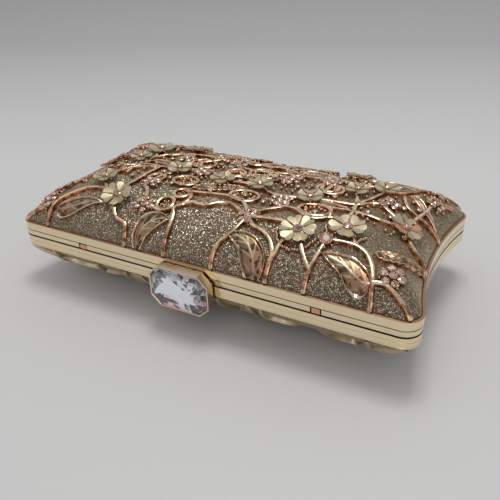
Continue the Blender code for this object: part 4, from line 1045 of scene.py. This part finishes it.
def add_setting(work, basis, radius, prongs, beads):
    """Cup and prongs that hold a small stone."""
    loft(work, [circle(basis, radius * reach, radius * height, 16) for reach, height in SETTING_PROFILE])
    for tip in circle(basis, radius * 1.02, radius * 0.12, prongs, 0.5):
        bead(work, tip, beads)


def cluster_layout(scale, chance):
    """Places and sizes of the stones of one cluster, in shares of the stone radius."""
    layout = [(0.0, 0.0, 1.05 if scale > SMALL_CLUSTER else 1.75)]
    count = 6 if scale > LARGE_CLUSTER else (5 if scale > SMALL_CLUSTER else 0)
    for index in range(count):
        angle = math.tau * (index + chance.uniform(-0.12, 0.12)) / count
        reach = 2.5 * chance.uniform(0.95, 1.08)
        layout.append((reach * math.cos(angle), reach * math.sin(angle), chance.uniform(0.80, 1.12)))
    return layout


def add_petal(work, basis, radius, count, thickness, seed, copper_reflection):
    """One fan-shaped petal: narrow at its root, broad and notched at its tip, folded along its middle; a
    petal given a painted copper reflection is made in rose gold.
    """
    chance = random.Random(seed)
    breadth = radius * math.sin(math.pi / count) * 0.76
    roll = chance.uniform(-0.13, 0.13)
    tip_lift = chance.uniform(0.0, 0.0007)
    top, bottom = [], []
    for row in range(PETAL_STEPS + 1):
        along = row / PETAL_STEPS
        fan = 0.13 + 0.87 * math.sin(math.pi / 2 * min(1.0, along * 1.18)) ** 1.5
        high, low = [], []
        for column in range(PETAL_STEPS + 1):
            across = 2 * column / PETAL_STEPS - 1
            notch = 0.15 * math.exp(-(across / 0.28) ** 2) + 0.20 * abs(across) ** 2.6
            x = radius * (0.15 + 0.85 * along * (1 - notch * along ** 2))
            y = across * fan * breadth
            height = PETAL_LIFT + thickness + 0.0004 * math.sin(math.pi * along * 0.7) + tip_lift * along
            height += 0.00055 * abs(across) * along - 0.0003 * (1 - abs(across)) * along
            height = min(height + roll * y, FLOWER_LIFT + FLOWER_HEIGHT - 0.0001)
            high.append(basis @ Vector((x, y, height)))
            low.append(basis @ Vector((x, y, height - thickness)))
        top.append(high)
        bottom.append(low)
    slab(work, top, bottom, material_index=1 if copper_reflection else 0)


def add_blossom(work, basis, radius, count, thickness, seed, copper_reflection):
    """Petals over a small plate, with a stamen between each pair; the last argument lists the petals made in
    rose gold as a painted copper reflection.
    """
    plate = ((0.30, -0.0002), (0.42, 0.0), (0.40, 0.0004), (0.20, 0.0006))
    loft(work, [circle(basis, radius * reach, PETAL_LIFT + height, 20) for reach, height in plate])
    for petal in range(count):
        turn = basis @ Matrix.Rotation(math.tau * petal / count, 4, "Z")
        add_petal(work, turn, radius, count, thickness, seed * 31 + petal, petal in copper_reflection)
        stamen = turn @ Matrix.Rotation(math.pi / count, 4, "Z")
        middle = PETAL_LIFT + STAMEN_LIFT
        wire = [[stamen @ Vector((radius * reach, STAMEN_RADIUS * math.cos(angle),
                                  middle + STAMEN_RADIUS * math.sin(angle))) for angle in WIRE_ANGLES]
                for reach in (0.30, 0.58, 0.86)]
        loft(work, wire, material_index=1)
        bead(work, stamen @ Vector((radius * 0.88, 0, middle)), STAMEN_KNOB, 1)


class CLUTCH_OT_finishes(bpy.types.Operator):
    """Make the materials of the clutch"""
    bl_idname = "clutch.finishes"
    bl_label = "Make finishes"

    def execute(self, context):
        sizes, colours = context.scene.clutch_sizes, context.scene.clutch_colours
        gold_finish("polished champagne gold", tuple(colours.champagne), 0.16)
        gold_finish("polished rose gold", tuple(colours.rose), 0.16)
        # Castings of the lid, coloured with painted reflections, painted shade and painted highlights
        casting_finish("two-tone casting", colours, SEAM_HEIGHT + UPPER_RIM)
        gold_finish("pale casting", tuple(colours.pale_gold), 0.40)
        gold_finish("warm beads", (0.80, 0.50, 0.28), 0.14)
        gold_finish("seam shadow", (0.10, 0.055, 0.03), 0.5)
        # Painted shade for the band's engraved groove and its rolled top edge
        gold_finish("brown bronze", (0.44, 0.24, 0.15), 0.42)
        gold_finish("setting gold", (0.64, 0.42, 0.28), 0.13)
        gold_finish("bezel gold", (0.61, 0.50, 0.37), 0.30)
        gold_finish("lip gold", (0.92, 0.68, 0.55), 0.14)
        petal_finish("satin petal gold", colours)
        glitter_finish("glitter cloth", sizes, colours)
        satin_finish("lining satin", sizes, colours)
        steel_finish("pin steel", colours)
        stone_finish("small cut stones", colours)
        foil_finish("mirror foil")
        crystal_finish("clear crystal")
        floor_finish("pale table", colours)
        return {"FINISHED"}


class CLUTCH_OT_frame_bands(bpy.types.Operator):
    """Build both polished bands of the frame, with their grooves, edges and windows"""
    bl_idname = "clutch.frame_bands"
    bl_label = "Build frame bands"

    def execute(self, context):
        ready = finishes()
        gold = ready["polished champagne gold"]
        fine = 0.00012
        for half, body, height, matrix in halves():
            section = [(fine, HALF_SEAM), (fine / 3, HALF_SEAM + fine / 3), (0.0, HALF_SEAM + fine)]
            grooves = []
            for low, width, depth in ENGRAVED[half]:
                grooves += range(len(section) + 1, len(section) + 4)
                section += [(0.0, low - fine / 2), (fine / 2, low), (depth, low), (depth, low + width),
                            (fine / 2, low + width), (0.0, low + width + fine / 2)]
            edge = 0.0004
            section += [(0.0, height - edge), (edge * 0.13, height - edge * 0.5),
                        (edge * 0.5, height - edge * 0.13), (edge, height),
                        (RIM_WALL - fine, height), (RIM_WALL, height - fine),
                        (RIM_WALL, FLANGE_TOP), (FLANGE_REACH, FLANGE_TOP), (FLANGE_REACH, HALF_SEAM),
                        (SEAM_REACH, HALF_SEAM)]
            work = bmesh.new()
            rings = [[(x, y, level) for x, y in outline(inset, CORNER_RADIUS - inset)]
                     for inset, level in section]
            made = loft(work, rings, closed_row=True)
            count = len(rings[0])
            # Painted shade in bronze in the upper band's groove and on the rolled edge beside the cloth,
            # painted shadow in the seam
            rolled = list(range(len(rings) - 9, len(rings) - 5))
            for row in (grooves if half == "upper" else []) + rolled:
                for face in made[row * count:(row + 1) * count]:
                    face.material_index = 1
            for face in made[(len(rings) - 1) * count:] + made[:2 * count]:
                face.material_index = 2
            band = settle("frame_band_" + half, work, [gold, ready["brown bronze"], ready["seam shadow"]],
                          body, [half + "_rim"], 30.0, matrix)
            if half == "upper":
                self.cut_windows(context, band)
        return {"FINISHED"}

    def cut_windows(self, context, band):
        """Cut both windows out of the upper band, then drop the cutters."""
        for sign in (-1, 1):
            place = (sign * TAB_PLACE, -HALF_DEPTH + 0.001, SEAM_HEIGHT + GROOVE_HEIGHT / 2)
            size = (WINDOW_WIDTH, 0.007, GROOVE_HEIGHT + GROOVE_WIDTH, 1.0)
            work = bmesh.new()
            bmesh.ops.create_cube(work, size=1.0, matrix=Matrix.Translation(place) @ Matrix.Diagonal(size))
            cutter = add_object("window_cutter", mesh_from(work, "window_cutter"))
            cut = band.modifiers.new("Window", "BOOLEAN")
            cut.operation = "DIFFERENCE"
            cut.object = cutter
            context.view_layer.update()
            made = bpy.data.meshes.new_from_object(band.evaluated_get(context.evaluated_depsgraph_get()))
            band.modifiers.clear()
            band.data = made
            bpy.data.objects.remove(cutter)


class CLUTCH_OT_shells(bpy.types.Operator):
    """Build both domed shells in glitter cloth"""
    bl_idname = "clutch.shells"
    bl_label = "Build shells"

    def execute(self, context):
        cloth = finishes()["glitter cloth"]
        for half, body, rim, matrix in halves():
            work = dome_wall(SHELL_INSET, SHELL_RISE, SHELL_WALL, DOME_SHARES, rim)
            shell = settle("glitter_shell_" + half, work, [cloth], body, [half + "_shell"],
                           60.0, matrix)
        return {"FINISHED"}


class CLUTCH_OT_linings(bpy.types.Operator):
    """Build the satin linings inside the shells"""
    bl_idname = "clutch.linings"
    bl_label = "Build linings"

    def execute(self, context):
        satin = finishes()["lining satin"]
        for half, body, rim, matrix in halves():
            work = dome_wall(LINING_INSET, LINING_RISE, LINING_WALL, INNER_DOME_SHARES, rim)
            settle("satin_lining_" + half, work, [satin], body, [half + "_lining"],
                   60.0, matrix)
        return {"FINISHED"}


class CLUTCH_OT_castings(bpy.types.Operator):
    """Cast the vines, leaves and scrolls of both faces"""
    bl_idname = "clutch.castings"
    bl_label = "Cast openwork"

    def execute(self, context):
        sizes = context.scene.clutch_sizes
        ready = finishes()
        for half, body, rim, matrix in halves():
            work, beads = bmesh.new(), bmesh.new()
            # Leaf paint: painted copper reflection, painted shade and blade share, and a painted highlight
            # on veins and rims
            work.verts.layers.float_vector.new("paint")
            work.verts.layers.float.new("vein")
            vines = VINES if half == "upper" else [VINES[index] for index in LOWER_VINES]
            add_vine(work, GARLAND, False, rim, sizes)
            if half == "upper":
                for points in TOP_VINES:
                    add_vine(work, points, False, rim, sizes)
                for first, second, strokes in TOP_LEAVES:
                    add_leaf(work, first, second, strokes, False, rim, sizes)
                for place in LOOPS:
                    add_loop(work, beads, place, rim, sizes)
            for turned in (False, True):
                for points in vines:
                    add_vine(work, points, turned, rim, sizes)
                for first, second, strokes in (LEAVES if half == "upper" else LEAVES[:5]):
                    add_leaf(work, first, second, strokes, turned, rim, sizes)
                for place in (SCROLLS if half == "upper" else ()):
                    add_scroll(work, beads, place, turned, rim, sizes)
            metal = ready["two-tone casting" if half == "upper" else "pale casting"]
            settle("castings_" + half, work, [metal], body, [half + "_openwork"], 40.0, matrix)
            if half == "upper":
                settle("loop_beads", beads, [ready["warm beads"]], body, (), 40.0, matrix)
            else:
                beads.free()
        return {"FINISHED"}


class CLUTCH_OT_blossoms(bpy.types.Operator):
    """Build the petalled blossoms on both faces"""
    bl_idname = "clutch.blossoms"
    bl_label = "Build blossoms"

    def execute(self, context):
        thickness = context.scene.clutch_sizes.petal_thickness
        upper, lower = halves()
        for turned, side in ((False, "near_"), (True, "far_")):
            for label, *form in BLOSSOMS:
                self.blossom("upper_flower_" + side + label, form, turned, upper, thickness)
                if label in LOWER_BLOSSOMS:
                    self.blossom("lower_flower_" + side + label, form, turned, lower, thickness)
        for label, *form in TOP_BLOSSOMS:
            self.blossom("upper_flower_top_" + label, form, False, upper, thickness)
        self.blossom("lower_flower_centre", ((0, 0), 8.0, 5, 0), False, lower, thickness)
        return {"FINISHED"}

    def blossom(self, node, form, turned, half, thickness):
        """One blossom over its CAD node; the lower ones end in the flat sole that the clutch rests on."""
        place, radius, count, turn = form
        side, body, rim, matrix = half
        sign = -MILLIMETRE if turned else MILLIMETRE
        work = bmesh.new()
        x, y = place[0] * sign, place[1] * sign
        if side == "lower":
            basis = Matrix.Translation((x, y, rim + SHELL_RISE))
            loft(work, [circle(basis, reach, height, 32) for reach, height in SOLE_PROFILE])
        else:
            basis = tangent_basis(x, y, rim)
        seed = sum((index + 1) * ord(letter) for index, letter in enumerate(node))
        # Two petals of blossom d are made in rose gold as a painted copper reflection
        add_blossom(work, basis @ Matrix.Rotation(math.radians(turn), 4, "Z"), radius * MILLIMETRE, count,
                    thickness, seed, (0, 3) if node.endswith("_d") else ())
        under_top(work)
        ready = finishes()
        metals = [ready["satin petal gold"], ready["polished rose gold"]]
        name = "blossom_" + node.replace("_flower", "")
        settle(name, work, metals, body, [node], 40.0, matrix)


class CLUTCH_OT_stones(bpy.types.Operator):
    """Set the small cut stones in the clusters and in the blossoms of the lid"""
    bl_idname = "clutch.stones"
    bl_label = "Set stones"

    def execute(self, context):
        sizes = context.scene.clutch_sizes
        ready = finishes()
        chance = random.Random(sizes.seed)
        _, body, rim, matrix = halves()[0]
        stones, settings, loose = bmesh.new(), bmesh.new(), bmesh.new()
        for turned in (False, True):
            sign = -MILLIMETRE if turned else MILLIMETRE
            for place, scale in CLUSTERS + (() if turned else TOP_CLUSTERS):
                basis = tangent_basis(place[0] * sign, place[1] * sign, rim, chance.uniform(0, 6.28))
                self.cluster(stones, settings, basis, scale, sizes, chance, rim)
            for _, place, radius, *_ in BLOSSOMS:
                self.heart(stones, settings, place, radius, sign, sizes, chance, rim)
            for _, place, radius, *_ in BLOSSOMS[1:3]:
                self.garnish(settings, place, radius, sign, sizes, chance, rim)
        for _, place, radius, *_ in TOP_BLOSSOMS:
            self.heart(stones, settings, place, radius, MILLIMETRE, sizes, chance, rim)
        self.berries(stones, loose, sizes, chance, rim)
        under_top(stones, settings, loose)
        settle("small_stones", stones, [ready["small cut stones"]], body, (), 10.0, matrix)
        settle("stone_settings", settings, [ready["setting gold"]], body, (), 40.0, matrix)
        settle("loose_settings", loose, [ready["setting gold"]], body, (), 40.0, matrix)
        return {"FINISHED"}

    def cluster(self, stones, settings, basis, scale, sizes, chance, rim):
        """A rosette of stones that follows the shell, with beads between them."""
        spread = sizes.stone_radius
        for x, y, size in cluster_layout(scale, chance):
            middle = basis @ Vector((x * spread, y * spread, 0))
            point, _ = skin(*on_shell(middle.x, middle.y), rim)
            lift = CLUSTER_STONE_LIFT + chance.uniform(0, 0.0004)
            seat = tangent_basis(point.x, point.y, rim) @ Matrix.Translation((0, 0, lift))
            add_stone(stones, seat, spread * size, chance)
            add_setting(settings, seat, spread * size, 4, sizes.bead_radius * 0.7)
        for middle in circle(basis, spread * (3.5 if scale > SMALL_CLUSTER else 2.6), 0, 7, 0.5):
            bead_on(settings, *on_shell(middle.x, middle.y), rim, CLUSTER_BEAD_LIFT,
                    sizes.bead_radius * chance.uniform(1.0, 1.5))

    def garnish(self, settings, place, radius, sign, sizes, chance, rim):
        """An arc of beads below a blossom."""
        for index in range(GARNISH_COUNT):
            angle = math.radians(GARNISH_START + GARNISH_STEP * index)
            reach = (radius + 0.7 + 0.3 * math.sin(1.9 * index)) * sign
            x, y = place[0] * sign + reach * math.cos(angle), place[1] * sign + reach * math.sin(angle)
            bead_on(settings, x, y, rim, CLUSTER_BEAD_LIFT, sizes.bead_radius * chance.uniform(1.2, 1.7))

    def berries(self, stones, settings, sizes, chance, rim):
        """Loose beads and small stones that fill the gaps on the top."""
        blossoms = [(Vector(place), radius) for _, place, radius, *_ in BLOSSOMS]
        blossoms += [(-place, radius) for place, radius in blossoms]
        blossoms += [(Vector(place), radius) for _, place, radius, *_ in TOP_BLOSSOMS]
        taken = []
        for _ in range(LOOSE_TRIES):
            spot = Vector((chance.uniform(-90, 90), chance.uniform(-15, 42)))
            if len(taken) > LOOSE_COUNT or any((spot - other).length < LOOSE_SPACING for other in taken):
                continue
            if any((spot - place).length < radius - 1 for place, radius in blossoms):
                continue
            if run_share(spot.x * MILLIMETRE, spot.y * MILLIMETRE) < LOOSE_SHARE:
                continue
            taken.append(spot)
            point, normal = skin(spot.x * MILLIMETRE, spot.y * MILLIMETRE, rim)
            if len(taken) % 3:
                size = sizes.bead_radius * chance.uniform(1.2, 1.9)
                bead(settings, point + normal * LOOSE_BEAD_LIFT, size)
            else:
                seat = tangent_basis(point.x, point.y, rim) @ Matrix.Translation((0, 0, LOOSE_STONE_LIFT))
                add_stone(stones, seat, sizes.stone_radius * 0.8, chance)
                add_setting(settings, seat, sizes.stone_radius * 0.8, 4, sizes.bead_radius * 0.6)

    def heart(self, stones, settings, place, radius, sign, sizes, chance, rim):
        """The stone in the middle of a blossom."""
        size = min(0.0018, radius * MILLIMETRE * 0.22)
        basis = tangent_basis(place[0] * sign, place[1] * sign, rim)
        seat = basis @ Matrix.Translation((0, 0, FLOWER_LIFT + FLOWER_HEIGHT - size * 0.5))
        add_stone(stones, seat, size, chance)
        add_setting(settings, seat, size, 5, sizes.bead_radius * 0.7)


class CLUTCH_OT_hardware(bpy.types.Operator):
    """Finish the hinges, pins, plates and guide tabs, which keep their CAD shapes"""
    bl_idname = "clutch.hardware"
    bl_label = "Finish hardware"

    def execute(self, context):
        ready = finishes()
        for side in ("left", "right"):
            dress("hinge_leaf_base_" + side, ready["polished champagne gold"])
            dress("hinge_leaf_lid_" + side, ready["polished champagne gold"])
            dress("hinge_pin_" + side, ready["pin steel"])
            dress("guide_tab_" + side, ready["polished rose gold"])
        for node in ("clasp_bracket", "clasp_lever", "catch_plate"):
            dress(node, ready["polished champagne gold"])
        dress("clasp_pin", ready["pin steel"])
        return {"FINISHED"}


def octagon(inset, reach):
    """Cut-corner outline of the clasp at an inset, at a reach in front of the frame's face."""
    half_width, half_height = BEZEL_WIDTH / 2 - inset, BEZEL_HEIGHT / 2 - inset
    cut = max(BEZEL_CORNER - inset * (2 - math.sqrt(2)), 0.0008)
    middle = SEAM_HEIGHT + BEZEL_TOP - BEZEL_HEIGHT / 2
    corners = (
        (half_width - cut, -half_height), (half_width, cut - half_height),
        (half_width, half_height - cut), (half_width - cut, half_height),
        (cut - half_width, half_height), (-half_width, half_height - cut),
        (-half_width, cut - half_height), (cut - half_width, -half_height),
    )
    return [Vector((CLASP_OFFSET + x, -HALF_DEPTH - reach, middle + z)) for x, z in corners]


class CLUTCH_OT_clasp(bpy.types.Operator):
    """Build the large step-cut stone and its bezel"""
    bl_idname = "clutch.clasp"
    bl_label = "Build clasp"

    def execute(self, context):
        ready = finishes()
        lip = 0.00018
        levels = ((BEZEL_WALL, BEZEL_FLOOR), (BEZEL_WALL, BEZEL_BACK), (lip, BEZEL_BACK),
                  (0.0, BEZEL_BACK + lip), (0.0, BEZEL_FRONT - lip * 1.5),
                  (lip * 0.3, BEZEL_FRONT - lip * 0.4), (lip, BEZEL_FRONT), (BEZEL_WALL - lip, BEZEL_FRONT),
                  (BEZEL_WALL, BEZEL_FRONT - lip), (BEZEL_WALL, BEZEL_FLOOR + 0.0006))
        work = bmesh.new()
        made = loft(work, [octagon(inset, reach) for inset, reach in levels])
        # The three rows of faces from the rolled outer edge to the front have the lip's gold
        for face in made[5 * 8:8 * 8]:
            face.material_index = 1
        settle("stone_bezel", work, [ready["bezel gold"], ready["lip gold"]], "clasp",
               ["crystal_bezel"], 20.0)
        self.stone(context.scene.clutch_sizes, ready)
        return {"FINISHED"}

    def stone(self, sizes, ready):
        """Clear crown over a foiled pavilion, both cut in steps."""
        edge = BEZEL_WALL + 0.0001
        work = bmesh.new()
        crown = ((edge, BEZEL_FRONT - 0.0003), (edge, BEZEL_FRONT - 0.0001),
                 (edge + 0.0013, BEZEL_FRONT + 0.0006), (edge + 0.0030, BEZEL_FRONT + 0.0011),
                 (0.0048, CRYSTAL_FRONT))
        loft(work, [octagon(inset, reach) for inset, reach in crown])
        settle("clasp_stone", work, [ready["clear crystal"]], "clasp",
               ["clasp_crystal"], 5.0)
        work = bmesh.new()
        steps = ((edge, 0.0004), (0.0024, 0.0006), (0.0040, 0.0005), (0.0057, 0.0007), (0.0075, 0.0006),
                 (0.0092, 0.0007))
        tones = random.Random(sizes.seed)
        tone = work.faces.layers.float_vector.new("tone")
        rows = [octagon(inset, BEZEL_FRONT - depth) for inset, depth in steps]
        self.facets(work, rows, tones, tone)
        backward = Vector((0, 0.0003, 0))
        low = [work.verts.new(point + backward) for point in rows[-1]]
        rim = [work.verts.new(point + backward) for point in rows[0]]
        work.faces.new(low)
        for index in range(8):
            after = (index + 1) % 8
            work.faces.new((low[index], low[after], rim[after], rim[index]))
        settle("stone_foil", work, [ready["mirror foil"]], "clasp", (), 3.0)

    def facets(self, work, rows, tones, layer):
        """Split every step of the pavilion into facets, each with a painted reflection tone of its own."""
        for lower, upper in zip(rows, rows[1:]):
            for index in range(8):
                after = (index + 1) % 8
                splits = 6 if index in (3, 7) else (3 if index in (1, 5) else 2)
                for split in range(splits):
                    first, second = split / splits, (split + 1) / splits
                    a, b = lower[index].lerp(lower[after], first), lower[index].lerp(lower[after], second)
                    c, d = upper[index].lerp(upper[after], second), upper[index].lerp(upper[after], first)
                    for corners in ((a, b, d), (b, c, d)):
                        face = work.faces.new([work.verts.new(corner) for corner in corners])
                        face[layer] = self.tone(sum(corners, Vector()) / 3, tones)
        face = work.faces.new([work.verts.new(point) for point in rows[-1]])
        face[layer] = (0.86, 0.90, 0.91)

    def tone(self, point, tones):
        """Painted reflection tone of one facet by its place: pale across the middle, streaked above, dark at
        both ends.
        """
        across = 2 * (point.x - CLASP_OFFSET) / BEZEL_WIDTH
        above = 2 * (point.z - SEAM_HEIGHT - BEZEL_TOP) / BEZEL_HEIGHT + 1
        if above > 0.32 - 0.69 * across:
            greys = (0.80, 0.62, 0.85, 0.45, 0.10) if across < 0.5 else (0.05, 0.09, 0.16, 0.30, 0.70)
        elif across > 0.55:
            if above < 0.2:
                return tones.choice(((0.42, 0.26, 0.32), (0.62, 0.42, 0.48), (0.05, 0.05, 0.06),
                                     (0.09, 0.09, 0.10)))
            greys = (0.05, 0.09, 0.20, 0.75)
        elif above > 1.26 + 1.81 * across or (above > -0.3 and across < -0.72):
            greys = (0.07, 0.13, 0.25, 0.55)
        elif above > (-0.36 if across < -0.3 else -0.50):
            greys = (0.86, 0.90)
        elif across < -0.5:
            greys = (0.05, 0.08)
        elif across < 0.0:
            return tones.choice(((0.88, 0.50, 0.58), (0.90, 0.58, 0.67), (0.86, 0.66, 0.72),
                                 (0.10, 0.09, 0.10)))
        elif across < 0.25:
            return (0.86, 0.78, 0.82)
        else:
            greys = (0.04, 0.06, 0.75)
        grey = tones.choice(greys)
        return (grey, grey, grey * 1.03)


class CLUTCH_OT_stage(bpy.types.Operator):
    """Set the table, the soft lamps and the camera"""
    bl_idname = "clutch.stage"
    bl_label = "Set stage"

    def execute(self, context):
        stage = context.scene.clutch_stage
        work = bmesh.new()
        bmesh.ops.create_grid(work, x_segments=1, y_segments=1, size=4.0)
        table = add_object("table", mesh_from(work, "table"))
        table.data.materials.append(finishes()["pale table"])
        table.location.z = -0.0001
        self.lamp("key_lamp", (-0.05, 0.22, 1.25), stage.key_power, 0.40)
        self.lamp("fill_lamp", (0.45, -0.85, 0.55), stage.fill_power, 0.7)
        self.sky(context, stage)
        self.camera(context, stage)
        context.scene.view_settings.view_transform = "Standard"
        return {"FINISHED"}

    def lamp(self, name, place, power, size):
        """A square lamp at a place, turned towards the clutch."""
        data = bpy.data.lights.new(name, "AREA")
        data.energy = power
        data.size = size
        lamp = add_object(name, data)
        lamp.location = place
        lamp.rotation_euler = Vector(place).to_track_quat("Z", "Y").to_euler()

    def sky(self, context, stage):
        """Soft grey light all round, brighter overhead and uneven, for the polished metal to mirror."""
        world = bpy.data.worlds.new("studio")
        world.use_nodes = True
        context.scene.world = world
        finish = Finish("studio", world.node_tree)
        direction = finish.place("Generated")
        glow = finish.ramp(finish.part(direction, 2),
                           ((0.0, (0.46, 0.455, 0.45)), (0.45, (0.48, 0.48, 0.48)),
                            (0.75, (0.60, 0.60, 0.60)), (1.0, (0.66, 0.66, 0.66))))
        blobs = finish.ramp(finish.noise(direction, 0.55, 1.0),
                            ((0.42, (0.55, 0.54, 0.53)), (0.56, (1.12, 1.12, 1.12))), "EASE")
        glow = finish.node("ShaderNodeMix", {"data_type": "RGBA", "blend_type": "MULTIPLY"}, 2,
                           {0: 1.0, 6: glow, 7: blobs})
        background = world.node_tree.nodes["Background"]
        finish.plug(background.inputs["Color"], glow)
        background.inputs["Strength"].default_value = stage.sky

    def camera(self, context, stage):
        """A camera at the photograph's viewing angle."""
        turn, tilt, roll = stage.camera_turn, stage.camera_tilt, stage.camera_roll
        level = math.cos(tilt)
        forward = Vector((-math.sin(turn) * level, math.cos(turn) * level, -math.sin(tilt)))
        right = Vector((math.cos(turn), math.sin(turn), 0))
        above = right.cross(forward)
        across = right * math.cos(roll) + above * math.sin(roll)
        up = above * math.cos(roll) - right * math.sin(roll)
        data = bpy.data.cameras.new("photo_view")
        data.lens = stage.lens
        data.clip_start = 0.01
        camera = add_object("photo_view", data)
        basis = Matrix((across, up, -forward)).transposed().to_4x4()
        camera.matrix_world = Matrix.Translation(stage.camera_place) @ basis
        context.scene.camera = camera


class CLUTCH_PT_panel(bpy.types.Panel):
    """Sizes, colours and steps of the clutch"""
    bl_idname = "CLUTCH_PT_panel"
    bl_label = "Evening Clutch"
    bl_space_type = "VIEW_3D"
    bl_region_type = "UI"
    bl_category = "Clutch"

    def draw(self, context):
        for group in (context.scene.clutch_sizes, context.scene.clutch_colours, context.scene.clutch_stage):
            box = self.layout.box()
            for name in group.__annotations__:
                box.prop(group, name)
        for step in STEPS:
            self.layout.operator(step.bl_idname)


STEPS = (CLUTCH_OT_finishes, CLUTCH_OT_frame_bands, CLUTCH_OT_shells, CLUTCH_OT_linings, CLUTCH_OT_castings,
         CLUTCH_OT_blossoms, CLUTCH_OT_stones, CLUTCH_OT_hardware, CLUTCH_OT_clasp, CLUTCH_OT_stage)
CLASSES = (ClutchSizes, ClutchColours, ClutchStage, *STEPS, CLUTCH_PT_panel)


def register():
    for item in CLASSES:
        bpy.utils.register_class(item)
    bpy.types.Scene.clutch_sizes = PointerProperty(type=ClutchSizes)
    bpy.types.Scene.clutch_colours = PointerProperty(type=ClutchColours)
    bpy.types.Scene.clutch_stage = PointerProperty(type=ClutchStage)


def unregister():
    del bpy.types.Scene.clutch_stage
    del bpy.types.Scene.clutch_colours
    del bpy.types.Scene.clutch_sizes
    for item in reversed(CLASSES):
        bpy.utils.unregister_class(item)


def main():
    register()
    bpy.ops.clutch.finishes()
    bpy.ops.clutch.frame_bands()
    bpy.ops.clutch.shells()
    bpy.ops.clutch.linings()
    bpy.ops.clutch.castings()
    bpy.ops.clutch.blossoms()
    bpy.ops.clutch.stones()
    bpy.ops.clutch.hardware()
    bpy.ops.clutch.clasp()
    bpy.ops.clutch.stage()


if __name__ == "__main__":
    main()
